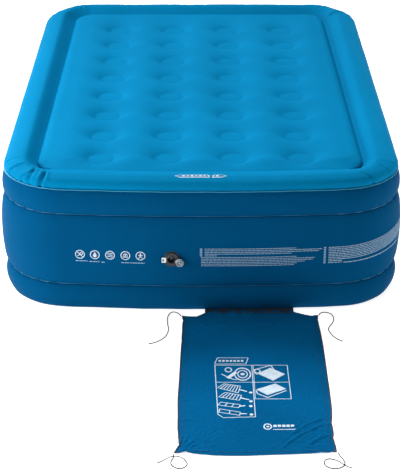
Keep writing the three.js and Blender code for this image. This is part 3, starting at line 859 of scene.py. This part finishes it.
def simulate_wrap(piece, columns, rows, frames=40, extra=0.018):
    """Lets the flap settle on the floor as cloth, cut larger than its pinned corners by extra."""
    pins = piece.vertex_groups.new(name="pins")
    held = [j for j in range(columns) if 0.2 < j / (columns - 1) < 0.8]
    held += [0, columns - 1, (rows - 1) * columns, rows * columns - 1]
    pins.add(held, 1.0, "REPLACE")
    floor = link_mesh("settling_floor", [(-1, -3, 0), (1, -3, 0), (1, 0, 0), (-1, 0, 0)], [(0, 1, 2, 3)])
    floor.modifiers.new("collision", "COLLISION")
    floor.collision.thickness_outer = 0.001
    cloth = piece.modifiers.new("cloth", "CLOTH")
    for name, value in {
        "vertex_group_mass": "pins", "quality": 8, "mass": 0.05, "tension_stiffness": 12,
        "compression_stiffness": 12, "shear_stiffness": 4, "bending_stiffness": 0.04,
        "shrink_min": -extra, "shrink_max": -extra,
    }.items():
        setattr(cloth.settings, name, value)
    cloth.collision_settings.distance_min = 0.001
    cloth.collision_settings.use_self_collision = False
    cloth.point_cache.frame_start = 1
    cloth.point_cache.frame_end = frames
    scene = bpy.context.scene
    for number in range(1, frames + 1):
        scene.frame_set(number)
    settled = piece.evaluated_get(bpy.context.evaluated_depsgraph_get())
    points = np.array([v.co for v in settled.to_mesh().vertices], float)
    settled.to_mesh_clear()
    piece.modifiers.remove(cloth)
    piece.vertex_groups.remove(pins)
    bpy.data.objects.remove(floor)
    scene.frame_set(1)
    return points


# Creases left by folding: (from, to, height, half-width); a negative height is a valley.
WRAP_CREASES = [
    ((0.040, -1.083), (0.297, -1.083), 0.0065, 0.0085),
    ((0.297, -1.083), (0.329, -1.148), 0.0056, 0.0080),
    ((-0.030, -1.060), (0.040, -1.110), 0.0047, 0.0100),
    ((0.225, -1.807), (0.360, -1.677), 0.0081, 0.0070),
    ((0.261, -1.7285), (0.363, -1.642), 0.0071, 0.0065),
    ((0.300, -1.790), (0.372, -1.735), 0.0053, 0.0060),
    ((0.023, -1.677), (0.131, -1.818), 0.0071, 0.0075),
    ((-0.030, -1.735), (0.050, -1.812), 0.0053, 0.0070),
    ((-0.069, -1.540), (-0.020, -1.542), 0.0047, 0.0060),
    ((-0.069, -1.654), (-0.015, -1.650), 0.0043, 0.0060),
    ((0.345, -1.330), (0.390, -1.300), 0.0040, 0.0070),
    ((0.340, -1.500), (0.390, -1.492), 0.0037, 0.0060),
    ((-0.030, -1.180), (0.060, -1.230), 0.0037, 0.0140),
    ((0.300, -1.210), (0.370, -1.150), 0.0040, 0.0120),
]


def crease_height(x, y, crease):
    """A soft ridge along a slightly curved line that fades at both ends."""
    (ax, ay), (bx, by), height, width = crease
    length = math.hypot(bx - ax, by - ay)
    along = ((x - ax) * (bx - ax) + (y - ay) * (by - ay)) / length
    across = ((x - ax) * (by - ay) - (y - ay) * (bx - ax)) / length
    across = across + 0.05 * length * np.sin(np.pi * np.clip(along / length, 0, 1))
    fade = smoothstep((along + 0.02) / 0.045) * smoothstep((length + 0.02 - along) / 0.045)
    sharp = np.exp(-(np.abs(across) / width) ** 1.4)
    return height * fade * sharp


def wrap_wrinkles(x, y):
    """Folding creases over soft swells that fan from the neck and the far corners."""
    fan = np.arctan2(x - 0.15, -(y + 0.90))
    near = smoothstep(1 - (-0.98 - y) / 0.34)
    z = 0.0015 * near * (1 + ripple(fan, [0.21, 0.34], 71))
    for corner_x, corner_y, seed in ((-0.078, -1.826, 72), (0.388, -1.820, 73)):
        reach = np.hypot(x - corner_x, y - corner_y)
        angle = np.arctan2(y - corner_y, x - corner_x)
        fold = smoothstep(1 - reach / 0.30) * smoothstep(reach / 0.06)
        z = z + 0.0016 * fold * (1 + ripple(angle, [0.26, 0.41], seed))
    for crease in WRAP_CREASES:
        z = z + crease_height(x, y, crease)
    return z + 0.0006 * (1 + ripple(x + y, [0.07, 0.11], 74) * ripple(x - y, [0.09, 0.15], 75))


def make_wrap(columns=96, rows=170, furthest=0.016):
    """The flap and its grid of points. The simulation moves each point by no more than furthest."""
    u, v = np.meshgrid(np.linspace(0, 1, columns), np.linspace(0, 1, rows))
    x, y = wrap_outline(u, v)
    start = np.stack([x, y, 0.0016 + wrap_wrinkles(x, y)], axis=-1)
    panel = link_mesh("wrap_cloth", start.reshape(-1, 3), grid_faces(rows, columns), CLOTH)
    shift = simulate_wrap(panel, columns, rows) - start.reshape(-1, 3)
    size = np.linalg.norm(shift, axis=1)[:, None]
    settled = start.reshape(-1, 3) + shift * np.minimum(1, furthest / np.maximum(size, 1e-9))
    settled[:, 2] = np.maximum(settled[:, 2], 0.0009)
    panel.data.vertices.foreach_set("co", settled.ravel())
    panel.data.update()
    start = settled.reshape(rows, columns, 3)
    smooth = panel.modifiers.new("smooth", "SUBSURF")
    smooth.levels = 1
    smooth.render_levels = 1
    thicken(panel, 0.0006, 0.0)
    return panel, start


wrap_panel, wrap_grid = make_wrap()


def refine(points):
    """Adds points halfway between rows and columns of a grid."""
    for axis in (0, 1):
        rolled = np.moveaxis(points, axis, 0)
        wider = np.empty((2 * len(rolled) - 1, *rolled.shape[1:]))
        wider[0::2] = rolled
        wider[1::2] = (rolled[:-1] + rolled[1:]) / 2
        points = np.moveaxis(wider, 0, axis)
    return points


def surface_finder(piece):
    """A function that gives the height of a piece's surface at x, y."""
    graph = bpy.context.evaluated_depsgraph_get()
    tree = BVHTree.FromObject(piece, graph)

    def height(x, y, fallback=0.002):
        hit, _, _, _ = tree.ray_cast(Vector((x, y, 1.0)), Vector((0, 0, -1)))
        return hit.z if hit is not None else fallback

    return height


bpy.context.view_layer.update()
wrap_height = surface_finder(wrap_panel)


# ---- Flat print, laid on a surface as thin strips and patches ----
class Print:
    """Collects quads in a flat (a, b) layout and lays them on a surface through lay(a, b)."""

    def __init__(self, lay, step=0.005):
        self.lay = lay
        self.step = step
        self.vertices = []
        self.faces = []

    def patch(self, corners):
        """A four-cornered filled area."""
        c = [np.array(p, float) for p in corners]
        nu = max(1, math.ceil(np.linalg.norm(c[1] - c[0]) / self.step))
        nv = max(1, math.ceil(np.linalg.norm(c[3] - c[0]) / self.step))
        first = len(self.vertices)
        for i in range(nv + 1):
            for j in range(nu + 1):
                s, t = j / nu, i / nv
                a, b = (1 - s) * (1 - t) * c[0] + s * (1 - t) * c[1] + s * t * c[2] + (1 - s) * t * c[3]
                self.vertices.append(self.lay(a, b))
        self.faces += grid_faces(nv + 1, nu + 1, first=first)

    def bar(self, start, end, width):
        a, b = np.array(start, float), np.array(end, float)
        along = (b - a) / max(np.linalg.norm(b - a), 1e-9)
        side = np.array([-along[1], along[0]]) * width / 2
        self.patch([a - side, b - side, b + side, a + side])

    def path(self, points, width, closed=False):
        loop = list(points) + ([points[0]] if closed else [])
        for a, b in zip(loop, loop[1:]):
            self.bar(a, b, width)

    def ring(self, centre, radius, width, steps=24, start=0.0, sweep=2 * math.pi, stretch=1.0):
        """A ring, or part of one, drawn taller than wide by stretch."""
        first = len(self.vertices)
        for i in range(steps + 1):
            angle = start + sweep * i / steps
            across, along = math.cos(angle), stretch * math.sin(angle)
            for r in (radius - width / 2, radius + width / 2):
                self.vertices.append(self.lay(centre[0] + r * across, centre[1] + r * along))
        self.faces += grid_faces(steps + 1, 2, first=first)

    def disc(self, centre, radius, steps=20):
        first = len(self.vertices)
        self.vertices.append(self.lay(*centre))
        for i in range(steps):
            angle = 2 * math.pi * i / steps
            across, along = radius * math.cos(angle), radius * math.sin(angle)
            self.vertices.append(self.lay(centre[0] + across, centre[1] + along))
        for i in range(steps):
            self.faces.append((first, first + 1 + i, first + 1 + (i + 1) % steps))

    def make(self, name, material, thickness=0.00012):
        piece = link_mesh(name, self.vertices, self.faces, material, smooth=False)
        edit_mesh(piece.data, lambda bm: bmesh.ops.recalc_face_normals(bm, faces=bm.faces))
        return thicken(piece, thickness, 0.0)


def dashed_row(target, left, right, height, seed, thickness, climb=0.0):
    """One unreadable row of short dashes, like fine print seen from afar."""
    draw = np.random.default_rng(seed)
    at = left
    while at < right:
        end = min(at + draw.uniform(0.005, 0.016), right)
        rise = [climb * ((point - left) / 0.29) ** 2 for point in (at, end)]
        target.bar((at, height + rise[0]), (end, height + rise[1]), thickness)
        at = end + 0.0017


# Wall print: a is the distance s round the plan, b is the height z.
def on_middle_wall(a, b):
    s = np.array([a])
    t = np.array([(b - LOWER_GROOVE_Z) / (UPPER_GROOVE_Z - LOWER_GROOVE_Z)])
    return shell_points(middle_section, t, s, middle_lift(t, s) + 0.0007)[0]


def pictogram_marks(icons, centres):
    """Plain shapes inside the five circles: a key, a drop, waves, a dome and a figure."""
    x, z = centres[0]
    icons.bar((x - 0.009, z + 0.009), (x + 0.009, z - 0.009), 0.0026)
    icons.bar((x - 0.008, z - 0.006), (x, z), 0.0024)
    icons.ring((x + 0.0045, z + 0.003), 0.0042, 0.0024, 12)
    x, z = centres[1]
    icons.disc((x, z - 0.003), 0.0062)
    icons.patch([(x - 0.0055, z), (x + 0.0055, z), (x + 0.0006, z + 0.010), (x - 0.0006, z + 0.010)])
    x, z = centres[2]
    for k in (-1, 0, 1):
        wave = ((-0.009, 0.0), (-0.003, 0.002), (0.003, -0.001), (0.009, 0.001))
        icons.path([(x + right, z + k * 0.006 + up) for right, up in wave], 0.0024)
    x, z = centres[3]
    icons.bar((x - 0.009, z - 0.005), (x + 0.009, z - 0.005), 0.0034)
    icons.ring((x, z), 0.0062, 0.0030, 16, 0, math.pi)
    icons.disc((x, z + 0.001), 0.0024, 10)
    x, z = centres[4]
    icons.disc((x, z + 0.0075), 0.0028, 12)
    icons.bar((x, z + 0.005), (x, z - 0.002), 0.0040)
    icons.path([(x - 0.007, z - 0.010), (x, z - 0.001), (x + 0.007, z - 0.010)], 0.0026)
    icons.bar((x - 0.0075, z + 0.002), (x + 0.0075, z + 0.002), 0.0024)


def make_pictograms():
    icons = Print(on_middle_wall, 0.01)
    centres = [(x, 0.2125) for x in (-0.4026, -0.353, -0.3023, -0.2513, -0.201)]
    for centre in centres:
        icons.ring(centre, 0.0148, 0.0028, 32)
    pictogram_marks(icons, centres)
    finish_piece(icons.make("wall_pictograms", PRINT), "mattress", "wall_laminate")


# Rows of fine print: (left, right, height) under the pictograms, and (left, right) of each row in the
# middle block from the top.
CAPTIONS = [
    (-0.418, -0.377, 0.1885), (-0.372, -0.338, 0.1870), (-0.332, -0.320, 0.1855), (-0.266, -0.187, 0.1860),
]
MIDDLE_BLOCK = [
    (0.012, 0.315), (0.012, 0.402), (0.012, 0.392), (0.012, 0.302), (0.012, 0.052),
    (0.0, 0.318), (0.0, 0.378), (0.0, 0.372), (0.0, 0.345), (0.0, 0.318), (0.0, 0.310),
]


def make_fine_print():
    rows = Print(on_middle_wall, 0.012)
    for left, right, height in CAPTIONS:
        dashed_row(rows, left, right, height, 1, 0.0026)
    for row, (left, right) in enumerate(MIDDLE_BLOCK):
        height = 0.2395 - 0.0062 * row
        dashed_row(rows, left, right, height, row + 2, 0.0024)
        if left > 0:
            rows.bar((-0.004, height), (0.004, height), 0.0034)
    # The block that turns the corner, whose rows climb as they go.
    for row in range(10):
        height = 0.2370 - 0.0063 * row
        right = 0.760 if row < 8 else 0.470
        dashed_row(rows, 0.424, right, height, row + 20, 0.0028, climb=0.020)
        rows.bar((0.408, height), (0.415, height), 0.0036)
    dashed_row(rows, 0.475, 0.760, 0.1800, 40, 0.0030, climb=0.020)
    finish_piece(rows.make("wall_fine_print", GREY_PRINT), "mattress", "wall_laminate")


make_pictograms()
make_fine_print()


# Bolster print: a is the distance s, b is the section's t.
def on_bolster(a, b):
    s, t = np.array([a]), np.array([b])
    return shell_points(bolster_section, t, s, bolster_lift(t, s) + 0.0006)[0]


def make_bolster_print():
    """A generic mark: a plain pointed outline round a row of bars."""
    mark = Print(on_bolster, 0.006)
    low, high, left, right = 0.305, 0.405, -0.085, 0.083
    middle = (low + high) / 2
    nose = 0.014
    outline = [
        (left + nose, low), (right - nose, low), (right, middle), (right - nose, high),
        (left + nose, high), (left, middle),
    ]
    steps = 8
    for a, b in zip(outline, outline[1:] + outline[:1]):
        # The level lines are wide along t, the slanted ones along s.
        across, up = (0, 0.009) if a[1] == b[1] else (0.0022, 0)
        for k in range(steps):
            p, q = [[a[i] + (b[i] - a[i]) * at / steps for i in (0, 1)] for at in (k, k + 1)]
            mark.patch([
                (p[0] - across, p[1] - up), (q[0] - across, q[1] - up),
                (q[0] + across, q[1] + up), (p[0] + across, p[1] + up),
            ])
    half_bar = 0.0042
    for k in range(9):
        at = left + 0.028 + k * 0.0138
        tall = 0.014 if k % 2 else 0.024
        near, far = at - half_bar, at + half_bar
        low, high = middle - tall, middle + tall
        mark.patch([(near, low), (far, low), (far, high), (near, high)])
    finish_piece(mark.make("bolster_mark", PRINT), "mattress", "top_laminate")


make_bolster_print()


# Wrap print: a and b are x and y on the flap.
def on_wrap(a, b):
    return (a, b, wrap_height(a, b) + 0.0003)


def frame_lines(lines):
    """The ruled panels: a left column of four and a right column of two."""
    top, divider, bottom = -1.340, -1.442, -1.6390
    lines.path([(0.0433, top), (0.2720, top), (0.2740, -1.5380), (0.1610, -1.5380)], 0.0025)
    lines.path([(0.0433, top), (0.0500, -1.6240), (0.0666, bottom - 0.003), (0.1615, bottom + 0.0015),
                (0.1601, top)], 0.0025)
    lines.bar((0.0450, divider), (0.2730, divider), 0.0025)
    lines.bar((0.1645, top), (0.1650, -1.536), 0.0018)


def slanted_mat(lines, corners, rungs):
    """An outlined mat seen at a slant, with cross bars."""
    lines.path(corners, 0.0024, closed=True)
    near_left, far_left, far_right, near_right = [np.array(corner) for corner in corners]
    for k in range(1, rungs + 1):
        t = k / (rungs + 1)
        near = near_left + (near_right - near_left) * t
        far = far_left + (far_right - far_left) * t
        lines.bar(near, far, 0.0026)


# Folding steps down the left column: a mat's corners, its cross bars, its pin's end and its knob.
FOLDING_STEPS = [
    ([(0.0504, -1.474), (0.0709, -1.451), (0.1211, -1.465), (0.1134, -1.504)],
     6, (0.1403, -1.496), (0.1518, -1.502)),
    ([(0.0532, -1.527), (0.0735, -1.501), (0.1231, -1.518), (0.1158, -1.546)],
     5, (0.1456, -1.543), (0.1510, -1.552)),
    ([(0.0511, -1.572), (0.0596, -1.556), (0.1183, -1.571), (0.1120, -1.588)],
     2, (0.1330, -1.576), (0.1495, -1.579)),
    ([(0.0530, -1.612), (0.0560, -1.594), (0.1172, -1.612), (0.1150, -1.629)],
     1, (0.1364, -1.621), (0.1503, -1.625)),
]


def block_row(lines, x, y, count, pitch, width, height):
    """A row of solid blocks in place of a word."""
    for k in range(count):
        lines.bar((x + pitch * k, y), (x + width + pitch * k, y), height)


def make_wrap_print():
    lines = Print(on_wrap, 0.006)
    frame_lines(lines)
    # A plain tag above the panels.
    tag = [(0.0522, -1.2944), (0.1502, -1.2944), (0.1415, -1.3327), (0.0425, -1.3327)]
    lines.path(tag, 0.0026, closed=True)
    block_row(lines, 0.0555, -1.3135, 7, 0.0118, 0.0080, 0.0100)
    # A valve with a hose beside it.
    valve = (0.1296, -1.394)
    lines.ring(valve, 0.0250, 0.0040, 28, stretch=1.45)
    lines.ring(valve, 0.0150, 0.0034, 24, stretch=1.45)
    lines.disc(valve, 0.0072)
    lines.ring((0.0857, -1.368), 0.0100, 0.0036, 18, stretch=1.3)
    lines.patch([(0.0780, -1.4140), (0.1060, -1.3760), (0.1140, -1.3860), (0.0880, -1.4220)])
    lines.path([(0.0630, -1.3930), (0.0816, -1.4100), (0.1000, -1.4250), (0.1120, -1.4260)], 0.0034)
    for corners, rungs, pin_end, knob in FOLDING_STEPS:
        slanted_mat(lines, corners, rungs)
        middle = (np.array(corners[2]) + np.array(corners[3])) / 2
        lines.bar(middle, pin_end, 0.0048)
        lines.disc(knob, 0.0056, 12)
    # A part-rolled mattress, and one laid flat.
    lines.patch([(0.1760, -1.3900), (0.2180, -1.3560), (0.2625, -1.3940), (0.2233, -1.4330)])
    lines.path([(0.1662, -1.3680), (0.2205, -1.3410), (0.2326, -1.3780)], 0.0036)
    lines.path([(0.1662, -1.3680), (0.1690, -1.3880), (0.1760, -1.3960)], 0.0034)
    lines.ring((0.1765, -1.3760), 0.0088, 0.0034, 16, stretch=1.3)
    lines.patch([(0.1691, -1.4840), (0.2294, -1.4500), (0.2620, -1.4800), (0.2023, -1.5160)])
    lines.path([(0.1691, -1.4900), (0.1720, -1.5080), (0.2023, -1.5300), (0.2625, -1.4900)], 0.0034)
    # A small roll mark near the far edge.
    roll = (0.1960, -1.6900)
    lines.ring(roll, 0.0110, 0.0038, 20, stretch=1.3)
    lines.disc(roll, 0.0044, 14)
    block_row(lines, 0.2130, -1.6860, 5, 0.0128, 0.0098, 0.0110)
    lines.bar((0.2110, -1.7050), (0.2764, -1.7050), 0.0030)
    finish_piece(lines.make("wrap_drawings", PRINT), "wrap", "wrap_cloth")


make_wrap_print()


def make_hems(width=0.0042):
    """A folded tape along each side of the flap, arched over its edge."""
    fine = refine(wrap_grid)
    fine[..., 2] += 0.0007
    for name, edge, inner in (("left", 0, 1), ("right", -1, -2)):
        outer_line = fine[:, edge]
        across = fine[:, inner] - outer_line
        across /= np.linalg.norm(across, axis=1)[:, None]
        arch = ((-0.0008, -0.0002), (width * 0.5, 0.0006), (width, 0.0))
        strip = np.stack([outer_line + out * across + [0, 0, up] for out, up in arch], axis=1)
        faces = grid_faces(*strip.shape[:2])
        hem = thicken(link_mesh(f"wrap_hem_tape_{name}", strip.reshape(-1, 3), faces, NAVY), 0.0008, 0.0)
        finish_piece(hem, "wrap", "navy_tape", f"wrap_hem_{name}")


make_hems()


def make_stitching():
    """Short dark thread stitches along the hems and the far and near edges."""
    thread = Print(lambda a, b: (a, b, wrap_height(a, b) + 0.0009), 0.01)
    stitch, width = 0.0048, 0.0009
    for u in (0.035, 0.965):
        for v in 0.03 + 0.94 * np.arange(112) / 112:
            x, y = wrap_outline(u, v)
            thread.bar((x, y), (x, y - stitch), width)
    for v in (0.012, 0.986):
        for u in 0.05 + 0.9 * np.arange(58) / 58:
            x, y = wrap_outline(u, v)
            thread.bar((x, y), (x + stitch, y), width)
    finish_piece(thread.make("wrap_stitching", NAVY, 0.0004), "wrap", "navy_tape")


make_stitching()


def make_connector():
    """The dark tape that joins the flap to the mattress, laid in a fixed shape with a step and soft waves.
    """
    x0, x1 = NECK[0].x - 0.009, NECK[1].x + 0.005
    y = np.concatenate([np.linspace(-0.9560, -0.980, 7), np.linspace(-0.9835, -1.0010, 9)])
    x = np.linspace(x0, x1, 60)
    grid_y, grid_x = np.meshgrid(y, x, indexing="ij")
    height = 0.0012 + 0.0016 * smoothstep((-0.984 - grid_y) / 0.005)
    height = height + 0.0014 * smoothstep((grid_y + 0.975) / 0.006)
    waves = 0.0009 * (1 + ripple(grid_x, [0.033, 0.052], 95))
    height = height + waves * smoothstep((-0.975 - grid_y) / 0.01)
    points = np.stack([grid_x, grid_y, height], axis=-1)
    piece = link_mesh("connector_tape", points.reshape(-1, 3), grid_faces(len(y), len(x)), NAVY)
    thicken(piece, 0.0008, 0.0)
    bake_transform(piece)
    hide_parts("wrap_connector")


make_connector()


def make_corner_tabs():
    """Folded triangles at the flap's corners, where each cord is sewn in."""
    tabs = Print(lambda a, b: (a, b, wrap_height(a, b) + 0.0011), 0.006)
    for (x, y), (dx, dy) in (
        ((-0.0645, -1.0225), (1, -1)), ((0.3940, -1.0150), (-1, -1)),
        ((-0.0785, -1.8275), (1, 1)), ((0.3895, -1.8215), (-1, 1)),
    ):
        tabs.patch([(x, y), (x + 0.016 * dx, y + 0.002 * dy), (x + 0.008 * dx, y + 0.009 * dy),
                    (x + 0.002 * dx, y + 0.016 * dy)])
    finish_piece(tabs.make("wrap_corner_tabs", NAVY, 0.0008), "wrap", "navy_tape")


make_corner_tabs()
finish_piece(wrap_panel, "wrap", "wrap_cloth", "wrap_panel")


# ---- Valve ----
def to_wall(points):
    """From the valve's own axes (x right, y up, z out of the wall) to the frame's."""
    p = np.asarray(points, float)
    return np.stack([VALVE.x + p[..., 0], VALVE.y - p[..., 2], VALVE.z + p[..., 1]], axis=-1)


def lathe(profile, steps=72, rib=None):
    """Vertices and faces of a closed [radius, height] profile in mm, turned about the local z."""
    profile = np.array(profile, float) / 1000
    angle = 2 * np.pi * np.arange(steps) / steps
    radius = np.broadcast_to(profile[:, 0], (steps, len(profile))).copy()
    if rib is not None:
        radius *= 1 + rib(angle)[:, None] * (profile[:, 0] > profile[:, 0].max() * 0.985)
    points = np.stack([radius * np.cos(angle)[:, None], radius * np.sin(angle)[:, None],
                       np.broadcast_to(profile[:, 1], radius.shape)], axis=-1)
    return points.reshape(-1, 3), grid_faces(steps, len(profile), wrap_rows=True, wrap_columns=True)


def rounded(profile, radius, steps=3):
    """A closed profile with its corners rounded, in the same units."""
    points = [np.array(p, float) for p in profile]
    out = []
    for before, at, after in zip(points[-1:] + points[:-1], points, points[1:] + points[:1]):
        a, b = before - at, after - at
        la, lb = np.linalg.norm(a), np.linalg.norm(b)
        r = min(radius, la * 0.45, lb * 0.45)
        if at[0] < 1e-6:
            out.append(at)
            continue
        start, end = at + a / la * r, at + b / lb * r
        for k in range(steps + 1):
            t = k / steps
            out.append((1 - t) ** 2 * start + 2 * t * (1 - t) * at + t ** 2 * end)
    return out


def join_parts(name, parts, material, transform):
    vertices, faces = [], []
    for part_vertices, part_faces in parts:
        first = len(vertices)
        vertices.extend(np.asarray(part_vertices).tolist())
        faces.extend(tuple(first + k for k in face) for face in part_faces)
    piece = link_mesh(name, transform(np.array(vertices)), faces, material)

    def clean(bm):
        bmesh.ops.remove_doubles(bm, verts=bm.verts, dist=1e-6)
        bmesh.ops.recalc_face_normals(bm, faces=bm.faces)

    edit_mesh(piece.data, clean)
    piece.data.polygons.foreach_set("use_smooth", [True] * len(piece.data.polygons))
    piece.data.set_sharp_from_angle(angle=math.radians(38))
    return piece


def soft_box(x0, x1, y0, y1, z0, z1, edge=0.3):
    """A box with bevelled edges, in mm."""
    bm = bmesh.new()
    bmesh.ops.create_cube(bm, size=1)
    for v in bm.verts:
        v.co.x = (x0 + x1) / 2 + v.co.x * (x1 - x0)
        v.co.y = (y0 + y1) / 2 + v.co.y * (y1 - y0)
        v.co.z = (z0 + z1) / 2 + v.co.z * (z1 - z0)
    bmesh.ops.bevel(bm, geom=bm.edges[:], offset=edge, segments=2, affect="EDGES")
    bm.verts.index_update()
    vertices = [np.array(v.co) / 1000 for v in bm.verts]
    faces = [tuple(v.index for v in f.verts) for f in bm.faces]
    bm.free()
    return vertices, faces


def turn(part, angle, shift=(0, 0, 0)):
    vertices, faces = part
    c, s = math.cos(angle), math.sin(angle)
    v = np.asarray(vertices, float) + np.array(shift) / 1000
    return np.stack([c * v[:, 0] - s * v[:, 1], s * v[:, 0] + c * v[:, 1], v[:, 2]], axis=1), faces


HINGE_TURN = math.radians(-16)
CAP_OPEN = math.radians(165)
CAP_HINGE = (14.75, 9.8)


def valve_piece(name, parts, material, body, slot, node, transform=to_wall):
    finish_piece(join_parts(name, parts, material, transform), body, slot, node)


def make_valve():
    base = lathe(rounded([
        (20.5, -22), (23.5, -22), (23.5, -6.8), (34, -6.8), (34, -5.2), (23.5, -5.2), (23.5, 5), (20.5, 5),
    ], 0.4))
    collar = lathe(rounded([(24.0, -1.2), (28.5, -1.6), (28.2, 0.6), (24.0, 1.4)], 0.5))
    ring = [base, collar]
    valve_piece("valve_base_ring", ring, DARK_PLASTIC, "mattress", "valve_dark_plastic", "valve_base")

    shell_profile = rounded([
        (13, 7.2), (13, -12), (10.5, -12), (10.5, -14), (13.5, -14), (13.5, -20), (20.2, -20),
        (20.2, 5.3), (20.9, 5.3), (20.9, 6.9), (22.9, 6.9), (22.9, 5.3), (24.5, 5.3), (24.5, 8),
        (21.8, 8), (21.2, 7.2), (16.2, 7.2), (15.6, 8), (13.6, 8),
    ], 0.35)
    parts = [lathe(shell_profile, 144, rib=lambda a: 0.006 * np.sign(np.sin(36 * a)))]
    parts.append(lathe(rounded([(2.2, -14), (4, -14), (4, -12), (2.2, -12)], 0.2), 32))
    for k in range(4):
        parts.append(turn(soft_box(3.4, 11.1, -0.9, 0.9, -14, -12), (k + 0.5) * math.pi / 2))
    for side in (-1, 1):
        ear = soft_box(-1.1, 1.1, side * 5.4 - 1, side * 5.4 + 1, 7.4, CAP_HINGE[1] + 1)
        parts.append(turn(ear, HINGE_TURN, (CAP_HINGE[0], 0, 0)))
    for k in range(3):
        grip = soft_box(16.6, 20.8, -0.6, 0.6, 7.0, 7.9, 0.2)
        parts.append(turn(grip, math.radians(70 + 70 * k)))
    valve_piece("valve_insert_body", parts, DARK_PLASTIC, "insert", "valve_dark_plastic", "valve_insert")

    angles = np.linspace(0, 2 * math.pi, 12, False)
    seal = lathe([(21.9 + 0.7 * math.cos(a), 5.95 + 0.62 * math.sin(a)) for a in angles])
    valve_piece("insert_seal_ring", [seal], RUBBER, "insert", "seal_rubber", "insert_seal")

    disc = lathe(rounded([
        (0, -15.3), (12, -15.2), (12, -14.4), (1.5, -14.3), (1.5, -9.2), (3.2, -9.2),
        (2.4, -7.4), (0, -7.4),
    ], 0.3), 48)
    valve_piece("check_disc_flap", [disc], CAP_PLASTIC, "check_disc", "cap_grey_plastic", "check_disc")

    make_pull_tab()
    make_cap()


def make_pull_tab():
    """A white slotted tab with rounded corners and a raised lip."""
    bars = [
        soft_box(-32.5, -29.5, -9.5, 8.5, 8.3, 9.9, 0.6),
        soft_box(-25.5, -17.5, -9.5, 8.5, 8.3, 9.7, 0.6),
        soft_box(-31, -20, -10, -5.2, 8.3, 9.8, 0.6),
        soft_box(-31, -20, 4.2, 9, 8.3, 9.8, 0.6),
        soft_box(-24.2, -22.6, -8, 7, 9.2, 10.4, 0.4),
    ]
    valve_piece("pull_tab_loop", bars, WHITE_PLASTIC, "insert", "valve_white_plastic", "pull_tab")


def make_cap():
    """The hinged stopper, drawn closed about its hinge line and swung open."""
    r, rise = CAP_HINGE
    body = lathe(rounded([
        (0, 0.5), (13.0, 0.5), (14, -0.2), (14, -1.5), (12.5, -1.5), (11.4, -8.5), (9.4, -8.5),
        (10.2, -1.5), (0, -1.5),
    ], 0.35), 64)
    lip = lathe(rounded([(9.6, 0.4), (11.0, 0.4), (11.0, 1.1), (9.6, 1.1)], 0.3), 48)
    parts = [(np.asarray(v) - [r / 1000, 0, 0], f) for v, f in (body, lip)]
    parts.append(soft_box(-3.4, 1.0, -4, 4, -0.9, 0.4))
    for half_x, half_y in ((10.2, 0.7), (0.7, 10.2)):
        parts.append(soft_box(-r - half_x, -r + half_x, -half_y, half_y, -6, -1, 0.2))

    def swing(points):
        """Opens the stopper about its hinge line, then moves the line to its place on the ears."""
        c, s = math.cos(CAP_OPEN), math.sin(CAP_OPEN)
        x, y, z = points[:, 0], points[:, 1], points[:, 2]
        x, z = x * c + z * s + r / 1000, -x * s + z * c
        c, s = math.cos(HINGE_TURN), math.sin(HINGE_TURN)
        return to_wall(np.stack([x * c - y * s, x * s + y * c, z + rise / 1000], axis=-1))

    valve_piece("cap_stopper", parts, CAP_PLASTIC, "cap", "cap_grey_plastic", "cap", swing)


make_valve()


# ---- Stage: floor, soft light and world ----
def aim(thing, target):
    direction = Vector(target) - Vector(thing.location)
    thing.rotation_mode = "QUATERNION"
    thing.rotation_quaternion = direction.to_track_quat("-Z", "Y")


def sun(name, azimuth, elevation, energy, spread):
    data = bpy.data.lights.new(name, "SUN")
    data.energy = energy
    data.angle = math.radians(spread)
    light = add_object(name, data)
    a, e = math.radians(azimuth), math.radians(elevation)
    light.location = (5 * math.sin(a) * math.cos(e), 5 * math.cos(a) * math.cos(e), 5 * math.sin(e))
    aim(light, (0, 0, 0))


def softbox(name, location, target, width, height, power):
    data = bpy.data.lights.new(name, "AREA")
    data.shape = "RECTANGLE"
    data.size = width
    data.size_y = height
    data.energy = power
    light = add_object(name, data)
    light.location = location
    aim(light, target)


def make_world():
    world = bpy.data.worlds.new("world")
    bpy.context.scene.world = world
    world.use_nodes = True
    background = world.node_tree.nodes["Background"]
    background.inputs["Color"].default_value = (1, 1, 1, 1)
    background.inputs["Strength"].default_value = 0.33


def make_floor(reach=150, drop=0.0002):
    """A wide pale floor a hair below z = 0."""
    corners = [(reach * x, reach * y, -drop) for x, y in ((-1, -1), (1, -1), (1, 1), (-1, 1))]
    floor = link_mesh("floor", corners, [(0, 1, 2, 3)], smooth=False)
    material = bpy.data.materials.new("floor")
    material.use_nodes = True
    shader = material.node_tree.nodes["Principled BSDF"]
    for name, value in {
        "Base Color": (0.8, 0.8, 0.8, 1), "Roughness": 1.0, "Specular IOR Level": 0.0,
        "Emission Color": (1, 1, 1, 1), "Emission Strength": 0.72,
    }.items():
        shader.inputs[name].default_value = value
    floor.data.materials.append(material)


def make_stage():
    make_floor()
    make_world()
    # Name, azimuth and elevation in degrees, strength and spread.
    sun("key", -36, 35, 1.8, 8)
    sun("back", -4, 54, 1.8, 20)
    # Name, place, aim, width, height and watts.
    softbox("overhead", (0.0, 0.1, 3.2), (0, -0.3, 0), 3.0, 2.0, 30)
    softbox("left_side", (-1.55, -0.1, 0.95), (-0.6, -0.1, 0.4), 2.2, 0.5, 20)
    softbox("left_strip", (-2.2, -2.0, 0.9), (-0.5, -0.9, 0.2), 1.2, 1.2, 38)
    softbox("right_strip", (2.6, -0.4, 0.9), (0.6, -0.7, 0.25), 1.2, 1.2, 14)
    bpy.context.scene.view_settings.view_transform = "Standard"


make_stage()
